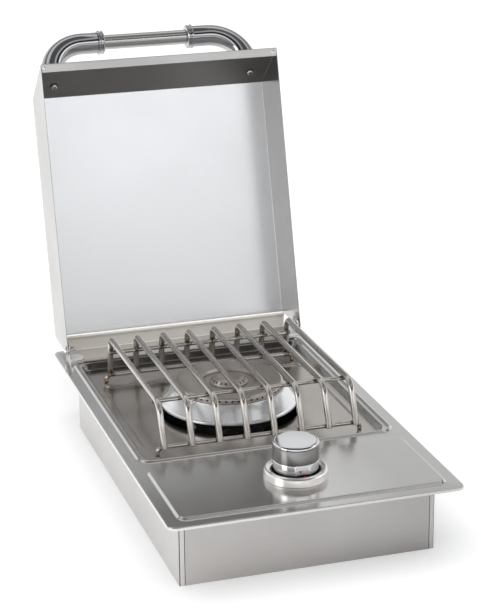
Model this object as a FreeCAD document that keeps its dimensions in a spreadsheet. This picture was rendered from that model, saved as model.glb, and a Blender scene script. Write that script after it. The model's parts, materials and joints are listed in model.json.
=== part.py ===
import FreeCAD, Part
import math
import os
import Sketcher
from FreeCAD import Placement, Rotation, Vector

os.makedirs("parts", exist_ok=True)
doc = FreeCAD.newDocument("SideBurner")

# Driving sizes in millimetres. X is across, Y runs from the knob to the hinge, Z is up.
# The origin is the centre of the underside of the box.
sizes = {
    "rimWidth": 330, "rimFront": -270, "rimRear": 285, "rimTop": 86, "lipDepth": 3.5, "rimCorner": 10,
    "plateThick": 1, "boxWidth": 290, "boxLength": 466, "boxHeight": 84.9, "boxSheet": 1,
    "panDepth": 8, "floorStep": 2, "burnerY": 56, "burnerHole": 85, "knobY": -189, "embossHeight": 2.5,
    "beadHeight": 2, "upstandHeight": 19.4, "upstandWidth": 292, "lidWidth": 309.6, "lidLength": 306.7,
    "lidDepth": 73.5, "lidSheet": 0.8, "lidFrontLean": 39.3, "lidRearLean": 22.4, "lidOpen": 105.2,
    "lidGap": 2.45,
    "pivotY": 251, "pivotZ": 98.8, "pivotRadius": 2.5, "earInner": 151.1, "earOuter": 152.6,
    "handleSpan": 261.4, "handleStand": 59, "elbowRadius": 13.6, "gripRadius": 9.4, "handleDown": 29,
    "rodRadius": 3.6, "rodPitch": 32.7, "rodTop": 134.5, "rodCount": 8, "footSpan": 242, "footEnd": 78.4,
    "dishRadius": 82, "dishEdge": 85, "ringRadius": 65, "ringBore": 33, "ringTop": 112, "domeRadius": 23.3,
    "domeTop": 115.3,
    "knobRadius": 25.5, "knobTop": 131, "bezelRadius": 35.7, "bezelTop": 99.5,
}
sheet = doc.addObject("Spreadsheet::Sheet", "Sizes")
for row, (name, value) in enumerate(sizes.items(), 1):
    sheet.set("A%d" % row, name)
    sheet.set("B%d" % row, str(value))
    sheet.setAlias("B%d" % row, name)
doc.recompute()

nodes = []


# A size is a plain number, or a name with a factor and an optional amount added.
def split(size):
    return size if len(size) == 3 else (size[0], size[1], 0)


def number(size):
    if isinstance(size, tuple):
        name, factor, extra = split(size)
        return sizes[name] * factor + extra
    return sizes[size] if isinstance(size, str) else size


def formula(size):
    if isinstance(size, tuple):
        return "Sizes.%s * %s + %s" % split(size)
    return "Sizes.%s" % size if isinstance(size, str) else None


def bind(item, field, size):
    if formula(size):
        item.setExpression(field, formula(size))


def newBody(name, keep=True):
    body = doc.addObject("PartDesign::Body", name)
    body.Label = name
    if keep:
        nodes.append(body)
    return body


def newSketch(body, name, role="XY_Plane", offset=0):
    sketch = body.newObject("Sketcher::SketchObject", name)
    face = [part for part in body.Origin.OriginFeatures if part.Role == role][0]
    sketch.AttachmentSupport = [(face, "")]
    sketch.MapMode = "FlatFace"
    sketch.AttachmentOffset = Placement(Vector(0, 0, number(offset)), Rotation())
    bind(sketch, ".AttachmentOffset.Base.z", offset)
    return sketch


def circle(sketch, x, y, radius):
    edge = sketch.addGeometry(Part.Circle(Vector(number(x), number(y), 0), Vector(0, 0, 1), number(radius)))
    index = sketch.addConstraint(Sketcher.Constraint("Radius", edge, number(radius)))
    bind(sketch, "Constraints[%d]" % index, radius)
    return edge


def polygon(sketch, points):
    count = len(points)
    first = sketch.GeometryCount
    for i in range(count):
        a, b = points[i], points[(i + 1) % count]
        sketch.addGeometry(Part.LineSegment(Vector(a[0], a[1], 0), Vector(b[0], b[1], 0)))
    for i in range(count):
        sketch.addConstraint(Sketcher.Constraint("Coincident", first + i, 2, first + (i + 1) % count, 1))


def roundRect(sketch, x0, y0, x1, y1, radius):
    x0, y0, x1, y1, radius = (number(v) for v in (x0, y0, x1, y1, radius))
    if radius <= 0:
        polygon(sketch, [(x0, y0), (x1, y0), (x1, y1), (x0, y1)])
        return
    first = sketch.GeometryCount
    corners = [(x1 - radius, y0 + radius, -90), (x1 - radius, y1 - radius, 0),
               (x0 + radius, y1 - radius, 90), (x0 + radius, y0 + radius, 180)]
    sides = [((x0 + radius, y0), (x1 - radius, y0)), ((x1, y0 + radius), (x1, y1 - radius)),
             ((x1 - radius, y1), (x0 + radius, y1)), ((x0, y1 - radius), (x0, y0 + radius))]
    for (a, b), (cx, cy, start) in zip(sides, corners):
        sketch.addGeometry(Part.LineSegment(Vector(a[0], a[1], 0), Vector(b[0], b[1], 0)))
        ring = Part.Circle(Vector(cx, cy, 0), Vector(0, 0, 1), radius)
        sketch.addGeometry(Part.ArcOfCircle(ring, math.radians(start), math.radians(start + 90)))
    for i in range(8):
        sketch.addConstraint(Sketcher.Constraint("Coincident", first + i, 2, first + (i + 1) % 8, 1))


def slot(sketch, x, y, length, radius):
    first = sketch.GeometryCount
    half = length / 2 - radius
    sketch.addGeometry(Part.LineSegment(Vector(x - half, y - radius, 0), Vector(x + half, y - radius, 0)))
    ring = Part.Circle(Vector(x + half, y, 0), Vector(0, 0, 1), radius)
    sketch.addGeometry(Part.ArcOfCircle(ring, math.radians(-90), math.radians(90)))
    sketch.addGeometry(Part.LineSegment(Vector(x + half, y + radius, 0), Vector(x - half, y + radius, 0)))
    ring = Part.Circle(Vector(x - half, y, 0), Vector(0, 0, 1), radius)
    sketch.addGeometry(Part.ArcOfCircle(ring, math.radians(90), math.radians(270)))
    for i in range(4):
        sketch.addConstraint(Sketcher.Constraint("Coincident", first + i, 2, first + (i + 1) % 4, 1))


def hexagon(sketch, x, y, flats):
    reach = flats / math.sqrt(3)
    polygon(sketch, [(x + reach * math.cos(math.radians(60 * i + 30)),
                      y + reach * math.sin(math.radians(60 * i + 30))) for i in range(6)])


def pad(body, sketch, length, middle=False, back=False):
    feature = body.newObject("PartDesign::Pad", "Pad" + sketch.Name)
    feature.Profile = sketch
    feature.Length = number(length)
    feature.Midplane = middle
    feature.Reversed = back
    bind(feature, "Length", length)
    body.Tip = feature
    return feature


def pocket(body, sketch, length=None, middle=False, back=False):
    feature = body.newObject("PartDesign::Pocket", "Pocket" + sketch.Name)
    feature.Profile = sketch
    if length is None:
        feature.Type = 1
    else:
        feature.Length = number(length)
        bind(feature, "Length", length)
    feature.Midplane = middle
    feature.Reversed = back
    body.Tip = feature
    return feature


def revolve(body, sketch, angle=360, cut=False, axis="V_Axis"):
    kind = "PartDesign::Groove" if cut else "PartDesign::Revolution"
    feature = body.newObject(kind, "Turn" + sketch.Name)
    feature.Profile = sketch
    feature.ReferenceAxis = (sketch, [axis])
    feature.Angle = angle
    body.Tip = feature
    return feature


def loft(body, lower, upper, cut=False):
    kind = "PartDesign::SubtractiveLoft" if cut else "PartDesign::AdditiveLoft"
    feature = body.newObject(kind, "Loft" + lower.Name)
    feature.Profile = lower
    feature.Sections = [upper]
    feature.Ruled = True
    body.Tip = feature
    return feature


def pipe(body, profile, path):
    feature = body.newObject("PartDesign::AdditivePipe", "Pipe" + profile.Name)
    feature.Profile = profile
    feature.Spine = path
    feature.Transition = 0
    body.Tip = feature
    return feature


def steppedRect(body, name, lowZ, lowBox, highZ, highBox, cut=False):
    lower = newSketch(body, name + "Low", offset=lowZ)
    roundRect(lower, *lowBox)
    upper = newSketch(body, name + "High", offset=highZ)
    roundRect(upper, *highBox)
    return loft(body, lower, upper, cut)


def turned(name, points, keep=True):
    body = newBody(name, keep)
    profile = newSketch(body, name + "Profile", "XZ_Plane")
    polygon(profile, points)
    revolve(body, profile)
    return body


def block(body, name, x0, y0, x1, y1, z0, height):
    plan = newSketch(body, name, offset=z0)
    roundRect(plan, x0, y0, x1, y1, 0)
    return pad(body, plan, height)


def ringOf(body, feature, count):
    pattern = body.newObject("PartDesign::PolarPattern", "Ring" + feature.Name)
    pattern.Originals = [feature]
    axis = [part for part in body.Origin.OriginFeatures if part.Role == "Z_Axis"][0]
    pattern.Axis = (axis, [""])
    pattern.Angle = 360
    pattern.Occurrences = count
    body.Tip = pattern
    return pattern


# Draws a run of straight lines with the inner corners rounded to the radii given
def bentPath(sketch, points, radii):
    start = Vector(points[0][0], points[0][1], 0)
    first = sketch.GeometryCount
    for i in range(1, len(points) - 1):
        corner = Vector(points[i][0], points[i][1], 0)
        before = Vector(points[i - 1][0], points[i - 1][1], 0) - corner
        after = Vector(points[i + 1][0], points[i + 1][1], 0) - corner
        half = before.getAngle(after) / 2
        before.normalize()
        after.normalize()
        reach = radii[i - 1] / math.tan(half)
        a, b = corner + before * reach, corner + after * reach
        middle = before + after
        middle.normalize()
        centre = corner + middle * (radii[i - 1] / math.sin(half))
        sketch.addGeometry(Part.LineSegment(start, a))
        ends = (a, b) if after.cross(before).z > 0 else (b, a)
        sketch.addGeometry(Part.Arc(ends[0], centre - middle * radii[i - 1], ends[1]))
        start = b
    sketch.addGeometry(Part.LineSegment(start, Vector(points[-1][0], points[-1][1], 0)))
    for i in range(first, sketch.GeometryCount - 1):
        joint = sketch.Geometry[i]
        following = sketch.Geometry[i + 1]
        ends = [joint.StartPoint, joint.EndPoint]
        starts = [following.StartPoint, following.EndPoint]
        near = min((a.distanceToPoint(b), m, n) for m, a in enumerate(ends, 1)
                   for n, b in enumerate(starts, 1))
        sketch.addConstraint(Sketcher.Constraint("Coincident", i, near[1], i + 1, near[2]))


# Turns a direction into a rotation from +Z.
def facing(x, y, z):
    return Rotation(Vector(0, 0, 1), Vector(x, y, z))


def copies(name, source, places):
    doc.recompute()
    parts = []
    for i, place in enumerate(places):
        twin = doc.addObject("Part::Feature", "%sItem%d" % (name, i))
        twin.Shape = source.Shape.copy()
        twin.Placement = place
        parts.append(twin)
    group = doc.addObject("Part::Compound", name)
    group.Links = parts
    group.Label = name
    nodes.append(group)
    return group


rimTop = sizes["rimTop"]
burnerY = sizes["burnerY"]
knobY = sizes["knobY"]
thick = sizes["plateThick"]
wall = sizes["boxSheet"]
bead = sizes["beadHeight"]
emboss = sizes["embossHeight"]
panFloor = -sizes["panDepth"]
stepFloor = panFloor - sizes["floorStep"]

# Top plate: rim with a turned-down lip, drip pan, raised bead round the pan and raised control area
plate = newBody("top_plate")
outline = newSketch(plate, "RimOutline", offset=("rimTop", 1, -3.5))
roundRect(outline, ("rimWidth", -0.5), "rimFront", ("rimWidth", 0.5), "rimRear", "rimCorner")
pad(plate, outline, "lipDepth")
under = newSketch(plate, "RimUnder", offset=("rimTop", 1, -thick))
roundRect(under, ("rimWidth", -0.5, thick), ("rimFront", 1, thick), ("rimWidth", 0.5, -thick),
          ("rimRear", 1, -thick), 9)
pocket(plate, under, 6)
steppedRect(plate, "Bead", "rimTop", (-152, -101, 152, 236.5, 17),
            ("rimTop", 1, bead), (-150.2, -99.2, 150.2, 234.7, 15.2))
steppedRect(plate, "BeadInside", "rimTop", (-146, -95, 146, 230.5, 12),
            ("rimTop", 1, bead + 0.5), (-148.2, -97.2, 148.2, 232.7, 14.2), cut=True)
steppedRect(plate, "PanOutside", ("rimTop", 1, panFloor - thick), (-137.9, -89.2, 137.9, 225.2, 10),
            ("rimTop", 1, -0.5), (-143.4, -94.7, 143.4, 230.7, 15.5))
steppedRect(plate, "StepOutside", ("rimTop", 1, stepFloor - thick), (-128.8, -38.8, 128.8, 163.8, 9),
            ("rimTop", 1, panFloor - 0.5), (-131.5, -41.5, 131.5, 166.5, 12))
steppedRect(plate, "PanInside", ("rimTop", 1, panFloor), (-137, -88.3, 137, 224.3, 9),
            ("rimTop", 1, 0.01), (-142.4, -93.7, 142.4, 229.7, 14.4), cut=True)
steppedRect(plate, "StepInside", ("rimTop", 1, stepFloor), (-128, -38, 128, 163, 8),
            ("rimTop", 1, panFloor + 0.01), (-130.4, -40.4, 130.4, 165.4, 10.4), cut=True)
collar = newSketch(plate, "BurnerCollar", offset=("rimTop", 1, stepFloor - 0.5))
circle(collar, 0, burnerY, ("burnerHole", 1, 1))
pad(plate, collar, 4, back=True)
opening = newSketch(plate, "BurnerOpening", offset=("rimTop", 1, 5))
circle(opening, 0, burnerY, "burnerHole")
pocket(plate, opening)
steppedRect(plate, "Control", ("rimTop", 1, -0.2), (-150.8, -255.8, 150.8, -121.2, 10),
            ("rimTop", 1, emboss), (-147, -252, 147, -125, 7))
steppedRect(plate, "ControlUnder", ("rimTop", 1, -thick), (-149.6, -254.6, 149.6, -122.4, 9),
            ("rimTop", 1, emboss - thick), (-145.8, -250.8, 145.8, -126.2, 6), cut=True)
holes = newSketch(plate, "StemHoles", offset=("rimTop", 1, 10))
circle(holes, 0, knobY, 9)
circle(holes, -17, knobY, 2.2)
circle(holes, 17, knobY, 2.2)
pocket(plate, holes)

# Strip standing along the rear edge of the rim, with a rolled top edge
upstand = newBody("rear_upstand")
stripTop = rimTop + sizes["upstandHeight"]
strip = newSketch(upstand, "StripSection", "YZ_Plane")
polygon(strip, [(282.9, rimTop), (284, rimTop), (284, stripTop - 2.2), (282.9, stripTop - 2.2)])
pad(upstand, strip, "upstandWidth", middle=True)
roll = newSketch(upstand, "StripRoll", "YZ_Plane")
circle(roll, 282.4, stripTop - 1.9, 1.9)
pad(upstand, roll, "upstandWidth", middle=True)

# Box under the rim: one sheet bent round three sides with short returns at the front
shell = newBody("box_shell")
outer = newSketch(shell, "ShellOuter")
roundRect(outer, ("boxWidth", -0.5), ("boxLength", -0.5), ("boxWidth", 0.5), ("boxLength", 0.5), 3)
pad(shell, outer, "boxHeight")
inner = newSketch(shell, "ShellInner", offset=100)
roundRect(inner, ("boxWidth", -0.5, wall), ("boxLength", -0.5, wall), ("boxWidth", 0.5, -wall),
          ("boxLength", 0.5, -wall), 2)
pocket(shell, inner)
mouth = newSketch(shell, "ShellMouth", offset=100)
roundRect(mouth, -138.9, -240, 138.9, -225, 0)
pocket(shell, mouth)

# Front panel set between the returns, with flanges turned inwards at both ends
front = newBody("box_front")
frontPlan = newSketch(front, "FrontPlan")
polygon(frontPlan, [(-138.2, -233), (138.2, -233), (138.2, -222), (137.2, -222), (137.2, -232),
                    (-137.2, -232), (-137.2, -222), (-138.2, -222)])
pad(front, frontPlan, "boxHeight")

# Bottom pan with upturned edges, vent slots and the cut-out for the gas line
base = newBody("bottom_pan")
baseOut = newSketch(base, "BaseOutline")
roundRect(baseOut, -136.9, -231.6, 136.9, 231.9, 2)
pad(base, baseOut, 12)
baseIn = newSketch(base, "BaseInside", offset=1)
roundRect(baseIn, -135.9, -230.6, 135.9, 230.9, 1.5)
pocket(base, baseIn, 20, back=True)
wings = newSketch(base, "BaseWings")
roundRect(wings, -143.9, -220, 143.9, 231.9, 0)
pad(base, wings, 1)
vents = newSketch(base, "BaseVents", offset=20)
for x in (-60, 60):
    for y in (-180, -155, -130):
        slot(vents, x, y, 70, 3)
    for y in (30, 56, 82):
        slot(vents, x * 1.35, y, 50, 3)
roundRect(vents, 72, 137, 138, 203, 8)
pocket(base, vents)


# Hinge brackets: an upright ear with a round top and a foot turned inwards on the rim
def hingeBracket(name, side):
    ear = newBody(name)
    inner, outer = sizes["earInner"], sizes["earOuter"]
    earSketch = newSketch(ear, name + "Ear", "YZ_Plane", offset=side * inner if side > 0 else -outer)
    pivot = (sizes["pivotY"], sizes["pivotZ"])
    y0, y1 = pivot[0] - 9, pivot[0] + 12
    polygon(earSketch, [(y0, rimTop), (y1, rimTop), (y1, pivot[1] - 2), (pivot[0] + 8, pivot[1] + 9.2),
                        (pivot[0] - 5, pivot[1] + 9.2), (y0, pivot[1] + 4)])
    pad(ear, earSketch, outer - inner)
    foot = newSketch(ear, name + "Foot", offset="rimTop")
    near, far = side * (inner + 0.5), side * 139.5
    mid = (y0 + y1) / 2
    half = (y1 - y0) / 2
    points = [(near, y0), (far, y0)]
    for step in range(1, 8):
        turn = math.radians(-90 + step * 22.5)
        points.append((far - side * 7 * math.cos(turn), mid + half * math.sin(turn)))
    points += [(far, y1), (near, y1)]
    polygon(foot, points)
    pad(ear, foot, 1.5)
    hole = newSketch(ear, name + "Hole", "YZ_Plane", offset=side * (outer + 5))
    circle(hole, "pivotY", "pivotZ", ("pivotRadius", 1, 0.05))
    pocket(ear, hole, 12, back=side < 0)
    return ear


hingeBracket("hinge_bracket_left", -1)
hingeBracket("hinge_bracket_right", 1)

# Pivot screws, washers and domed nuts on the hinge line
pivotY, pivotZ = sizes["pivotY"], sizes["pivotZ"]
lidSide = sizes["lidWidth"] / 2


def onPivot(x, side):
    return Placement(Vector(side * x, pivotY, pivotZ), facing(side, 0, 0))


screw = turned("pivotScrew", [(0, 2.6), (3, 2.3), (4.6, 1.2), (5, 0.3), (5, 0), (2.5, 0), (2.5, -9.6),
                              (2.1, -10), (0, -10)], keep=False)
copies("pivot_screws", screw, [onPivot(lidSide + 0.3, -1), onPivot(lidSide + 0.3, 1)])
washer = turned("pivotWasher", [(2.6, 0), (6, 0), (6, 0.8), (2.6, 0.8)], keep=False)
copies("pivot_washers", washer, [onPivot(sizes["earOuter"], -1), onPivot(sizes["earOuter"], 1)])
nut = newBody("domedNut", keep=False)
flats = newSketch(nut, "NutFlats")
hexagon(flats, 0, 0, 8)
pad(nut, flats, 4)
dome = newSketch(nut, "NutDome", "XZ_Plane")
polygon(dome, [(0, 3.9), (3.9, 3.9), (3.9, 5), (3.4, 6.6), (2.4, 7.8), (1, 8.4), (0, 8.5)])
revolve(nut, dome)
bore = newSketch(nut, "NutBore")
circle(bore, 0, 0, ("pivotRadius", 1, 0.03))
pocket(nut, bore, 6.5, back=True)
inward = [Placement(Vector(s * sizes["earInner"], pivotY, pivotZ), facing(-s, 0, 0)) for s in (-1, 1)]
copies("domed_nuts", nut, inward)

# Burner casting: wide dish, gas ring channel and centre well, with two side bores for the mixing tubes
burnerPlace = Placement(Vector(0, burnerY, 0), Rotation())
tubeX, tubeZ = 16, 61
dish, dishZ = sizes["dishRadius"], sizes["dishEdge"]
wellTop, seatTop = 106.8, 104.2
casting = turned("burner_base", [
    (0, 48), (52, 48), (56, 52), (56, 71), (62, 75), (dish - 6, dishZ - 4), (dish - 1.5, dishZ - 0.4),
    (dish, dishZ - 0.4), (dish, dishZ + 2.2), (dish - 0.8, dishZ + 3.5), (67.5, 103.2), (66.5, seatTop),
    (61.1, seatTop), (61.1, wellTop), (58, wellTop), (58, 73), (39, 73), (39, wellTop), (36.3, wellTop),
    (36.3, seatTop), (32.6, seatTop), (32.6, 107.6), (31.8, 108.2), (19.8, 108.2), (19.8, 110.4), (17, 110.4),
    (17, 73), (0, 73)])
side = newSketch(casting, "TubeBoreOuter", "XZ_Plane", offset=70)
circle(side, tubeX, tubeZ, 9.55)
pocket(casting, side, 36)
side = newSketch(casting, "TubeBoreInner", "XZ_Plane", offset=70)
circle(side, -tubeX, tubeZ, 9.55)
pocket(casting, side, 73)
rise = newSketch(casting, "GasRises", offset=80)
circle(rise, tubeX, -45, 7.5)
circle(rise, -tubeX * 0.5, -3, 7.5)
pocket(casting, rise, 19)
lugs = newSketch(casting, "ScrewBores", offset=48)
for x in (-36, 36):
    circle(lugs, x, 0, 2.05)
pocket(casting, lugs, 14, back=True)
electrodeX, electrodeY = -57, 15.6
wire = newSketch(casting, "ElectrodeHole", offset=110)
circle(wire, electrodeX, electrodeY - burnerY, 3)
pocket(casting, wire, 40)
casting.Placement = burnerPlace

# Outer ring cap and centre cap, each with a row of flame ports round its skirt
ringOut, ringIn, ringZ = sizes["ringRadius"], sizes["ringBore"], sizes["ringTop"]
ring = turned("outer_ring_cap", [
    (ringIn, 104.5), (36, 104.5), (36, 108.9), (61.4, 108.9), (61.4, 104.5), (ringOut, 104.5),
    (ringOut, ringZ - 2.6), (ringOut - 0.8, ringZ - 1), (ringOut - 2.5, ringZ - 0.2), (ringOut - 5, ringZ),
    (ringIn + 3.5, ringZ), (ringIn + 1.4, ringZ - 0.6), (ringIn, ringZ - 2.2)])
port = newSketch(ring, "RingPort", "XZ_Plane", offset=75)
circle(port, 0, 107.6, 1.25)
firstPort = pocket(ring, port, 20)
ringOf(ring, firstPort, 54)
ring.Placement = burnerPlace
domeOut, domeZ = sizes["domeRadius"], sizes["domeTop"]
cap = turned("centre_cap", [
    (0, domeZ), (10, domeZ - 0.1), (14.5, domeZ - 0.7), (domeOut - 0.3, 110), (domeOut, 109.4),
    (domeOut, 108.5), (20.1, 108.5), (20.1, 110.6), (17, 111.9), (9, 113.3), (0, 113.5)])
port = newSketch(cap, "CapPort", "XZ_Plane", offset=30)
circle(port, 0, 112, 1)
firstPort = pocket(cap, port, 20)
ringOf(cap, firstPort, 20)
cap.Placement = burnerPlace


# Mixing tubes with flared mouths, air shutters round the mouths and gas jets in front of them
def atTube(x, y):
    return Placement(Vector(x, y, tubeZ), facing(0, 1, 0))


tube = turned("mixingTube", [(13, 0), (13, 11), (9.5, 19), (9.5, 168), (8.5, 168), (8.5, 19.4), (12, 11.3),
                             (12, 0)], keep=False)
air = newSketch(tube, "AirHoles", "XZ_Plane")
circle(air, 0, 6, 3.2)
pocket(tube, air, 40, middle=True)
air = newSketch(tube, "AirHolesAcross", "YZ_Plane")
circle(air, 0, 6, 3.2)
pocket(tube, air, 40, middle=True)
copies("mixing_tubes", tube, [atTube(-tubeX, -158), atTube(tubeX, -158)])
shutter = turned("airShutter", [(13.05, 0.6), (14.1, 0.6), (14.1, 10.4), (13.05, 10.4)], keep=False)
air = newSketch(shutter, "ShutterSlot", "XZ_Plane")
slot(air, 2.2, 6, 8, 3)
pocket(shutter, air, 40, middle=True)
copies("air_shutters", shutter, [atTube(-tubeX, -158), atTube(tubeX, -158)])
jet = newBody("gasJet", keep=False)
flats = newSketch(jet, "JetFlats")
hexagon(flats, 0, 0, 10)
pad(jet, flats, 7)
nose = newSketch(jet, "JetNose", "XZ_Plane")
polygon(nose, [(0, 6.9), (4.3, 6.9), (4.3, 8.5), (3, 13), (2.4, 13.6), (0, 13.6)])
revolve(jet, nose)
bore = newSketch(jet, "JetBore")
circle(bore, 0, 0, 0.7)
pocket(jet, bore, 20, back=True)
copies("gas_jets", jet, [atTube(-tubeX, -171), atTube(tubeX, -171)])

# Burner stand: a bent strap on the bottom pan, with two screws up into the casting
stand = newBody("burner_stand")
strap = newSketch(stand, "StrapSection", "XZ_Plane", offset=-burnerY)
polygon(strap, [(-45, 48), (45, 48), (45, 3), (60, 3), (60, 1), (43, 1), (43, 46), (-43, 46), (-43, 1),
                (-60, 1), (-60, 3), (-45, 3)])
pad(stand, strap, 24, middle=True)
lugs = newSketch(stand, "StrapHoles", offset=60)
for x in (-36, 36):
    circle(lugs, x, burnerY, 2.05)
pocket(stand, lugs, 20)
bolt = turned("burnerScrew", [(0, 0), (3.6, 0), (4, 0.6), (4, 2.4), (2, 2.4), (2, 14), (0, 14)], keep=False)
copies("burner_screws", bolt, [Placement(Vector(x, burnerY, 43.6), Rotation()) for x in (-36, 36)])

# Gas valve: brass block with two outlets, an inlet boss and a bonnet round the stem
knobPlace = Placement(Vector(0, knobY, 0), Rotation())
valve = newBody("valve_body")
block(valve, "ValveBlock", -26, -12, 26, 12, 49, 28)
for name, x in (("OutletLeft", -tubeX), ("OutletRight", tubeX)):
    boss = newSketch(valve, name, "XZ_Plane", offset=-11)
    circle(boss, x, tubeZ, 6)
    pad(valve, boss, 6.9, back=True)
inlet = newSketch(valve, "InletBoss", "YZ_Plane", offset=25)
circle(inlet, 0, tubeZ, 8)
pad(valve, inlet, 9)
bore = newSketch(valve, "PipeBore", "YZ_Plane", offset=40)
circle(bore, 0, tubeZ, 5.05)
pocket(valve, bore, 12)
bore = newSketch(valve, "StemBore", offset=90)
circle(bore, 0, 0, 4.05)
pocket(valve, bore, 36)
bore = newSketch(valve, "ValveScrewBores", offset=90)
for x in (-17, 17):
    circle(bore, x, 0, 1.95)
pocket(valve, bore, 24)
valve.Placement = knobPlace
bonnet = turned("valve_bonnet", [(4.05, 77), (8.4, 77), (8.4, 88.6), (7.6, 90), (4.05, 90)])
bonnet.Placement = knobPlace

# Valve bracket: a shallow channel welded under the control area that carries the valve
bracket = newBody("valve_bracket")
hat = newSketch(bracket, "HatSection", "XZ_Plane")
polygon(hat, [(-42, 77), (42, 77), (42, 86), (52, 86), (52, 87.4), (40.6, 87.4), (40.6, 78.5), (-40.6, 78.5),
              (-40.6, 87.4), (-52, 87.4), (-52, 86), (-42, 86)])
pad(bracket, hat, 28, middle=True)
ways = newSketch(bracket, "BracketHoles", offset=95)
circle(ways, 0, 0, 8.5)
for x in (-17, 17):
    circle(ways, x, 0, 2.05)
pocket(bracket, ways, 30)
bracket.Placement = knobPlace

# Bezel round the knob, with its dark liner, coloured pointer and fixing screws
bezelOut, bezelTop = sizes["bezelRadius"], sizes["bezelTop"]
bezel = turned("knob_bezel", [
    (12, 88.5), (bezelOut - 0.5, 88.5), (bezelOut, 89.6), (bezelOut - 0.9, 97), (bezelOut - 1.7, 98.6),
    (bezelOut - 3.1, bezelTop), (28.6, bezelTop - 1.2), (27.7, 97.4), (27.7, 90), (12, 90)])
ways = newSketch(bezel, "BezelHoles", offset=95)
for x in (-17, 17):
    circle(ways, x, 0, 2.05)
pocket(bezel, ways, 20)
seat = newSketch(bezel, "PointerSeat", offset=105)
circle(seat, 0, -31, 1.5)
pocket(bezel, seat, 9)
bezel.Placement = knobPlace
liner = turned("bezel_liner", [(26.5, 90), (27.7, 90), (27.7, 97), (26.5, 97)])
liner.Placement = knobPlace
pointer = turned("bezel_pointer", [(0, 96), (1.48, 96), (1.48, 99.3), (1.1, 100), (0, 100.2)])
pointer.Placement = Placement(Vector(0, knobY - 31, 0), Rotation())
bolt = turned("bezelScrew", [(0, 92.2), (2.6, 92.1), (3.5, 91.2), (3.5, 90), (1.9, 90), (1.9, 68), (0, 68)],
              keep=False)
copies("bezel_screws", bolt, [Placement(Vector(x, knobY, 0), Rotation()) for x in (-17, 17)])

# Stem and thrust washer of the push-and-turn valve
stem = turned("valve_stem", [(0, 62), (3, 62), (4, 63), (4, 113.4), (3.4, 114), (0, 114)])
flat = newSketch(stem, "StemFlat", offset=99)
roundRect(flat, -6, 2.6, 6, 6, 0)
pocket(stem, flat, 20, back=True)
stem.Placement = knobPlace
thrust = turned("thrust_washer", [(4.06, 94.4), (7.4, 94.4), (7.4, 95.4), (4.06, 95.4)])
thrust.Placement = knobPlace

# Knob: moulded hub, bright lower skirt with a flat, brushed band, bright top disc, and grub screw
hub = newBody("knob_hub")
core = newSketch(hub, "HubCore", offset=96.8)
circle(core, 0, 0, 8)
pad(hub, core, 30.1)
web = newSketch(hub, "HubWeb", offset=114.8)
circle(web, 0, 0, 22.45)
pad(hub, web, 12.1)
bore = newSketch(hub, "HubBore", offset=96)
circle(bore, 0, 0, 4.02)
pocket(hub, bore, 18.2, back=True)
cross = newSketch(hub, "GrubBore", "YZ_Plane")
circle(cross, 0, 104, 1.75)
pocket(hub, cross, 9, back=True)
hub.Placement = knobPlace
knobOut, knobTop = sizes["knobRadius"], sizes["knobTop"]
skirt = turned("knob_skirt", [(22.5, 94.6), (24.3, 94.6), (24.7, 95.2), (knobOut, 109),
                              (knobOut - 0.3, 109.9), (22.5, 109.9)])
flat = newSketch(skirt, "SkirtFlat", "XZ_Plane", offset=30)
polygon(flat, [(-6, 90), (6, 90), (8.4, 109.2), (-8.4, 109.2)])
pocket(skirt, flat, 6.4)
skirt.Placement = knobPlace
band = turned("knob_band", [(22.5, 110), (knobOut - 0.2, 110), (knobOut, 110.3), (knobOut, knobTop - 4.4),
                            (knobOut - 0.2, knobTop - 4.1), (22.5, knobTop - 4.1)])
band.Placement = knobPlace
top = turned("knob_cap", [(0, knobTop - 4), (knobOut - 0.4, knobTop - 4), (knobOut - 0.1, knobTop - 3.5),
                          (knobOut - 0.1, knobTop - 1.8), (24.2, knobTop - 0.4), (23.4, knobTop),
                          (23, knobTop), (22.6, knobTop - 0.3), (0, knobTop - 0.3)])
top.Placement = knobPlace
grub = turned("grubScrew", [(0, 0), (1.7, 0), (1.7, 3.6), (0, 3.6)], keep=False)
copies("knob_grub_screw", grub, [Placement(Vector(4.2, knobY, 104), facing(1, 0, 0))])

# Gas pipe along the right of the box, its clip and the inlet elbow over the cut-out
pipeX, inletY = 105, 170
gas = newBody("gas_pipe")
path = newSketch(gas, "GasPath", offset=tubeZ)
bentPath(path, [(31, knobY), (pipeX, knobY), (pipeX, inletY - 14)], [16])
section = newSketch(gas, "GasSection", "YZ_Plane", offset=31)
circle(section, knobY, tubeZ, 5)
circle(section, knobY, tubeZ, 4)
pipe(gas, section, path)
elbow = newBody("inlet_elbow")
drop = newSketch(elbow, "InletDrop", offset=18)
circle(drop, pipeX, inletY, 7)
pad(elbow, drop, 50)
nipple = newSketch(elbow, "InletNipple", offset=4)
circle(nipple, pipeX, inletY, 7.9)
pad(elbow, nipple, 18)
flats = newSketch(elbow, "InletFlats", offset=22)
hexagon(flats, pipeX, inletY, 19)
pad(elbow, flats, 9)
boss = newSketch(elbow, "InletArm", "XZ_Plane", offset=-inletY)
circle(boss, pipeX, tubeZ, 8)
pad(elbow, boss, 22)
bore = newSketch(elbow, "InletArmBore", "XZ_Plane", offset=-inletY + 30)
circle(bore, pipeX, tubeZ, 5.05)
pocket(elbow, bore, 17)
bore = newSketch(elbow, "InletBore", offset=0)
circle(bore, pipeX, inletY, 4.5)
pocket(elbow, bore, 60, back=True)
clip = newBody("pipe_clip")
loop = newSketch(clip, "ClipLoop", "XZ_Plane", offset=-60)
circle(loop, pipeX, tubeZ, 6.6)
circle(loop, pipeX, tubeZ, 5.05)
pad(clip, loop, 12, middle=True)
tab = newSketch(clip, "ClipTab", "XZ_Plane", offset=-60)
polygon(tab, [(pipeX + 5.6, 60.2), (142.6, 60.2), (142.6, 52), (143.9, 52), (143.9, 70), (142.6, 70),
              (142.6, 61.8), (pipeX + 5.6, 61.8)])
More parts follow.
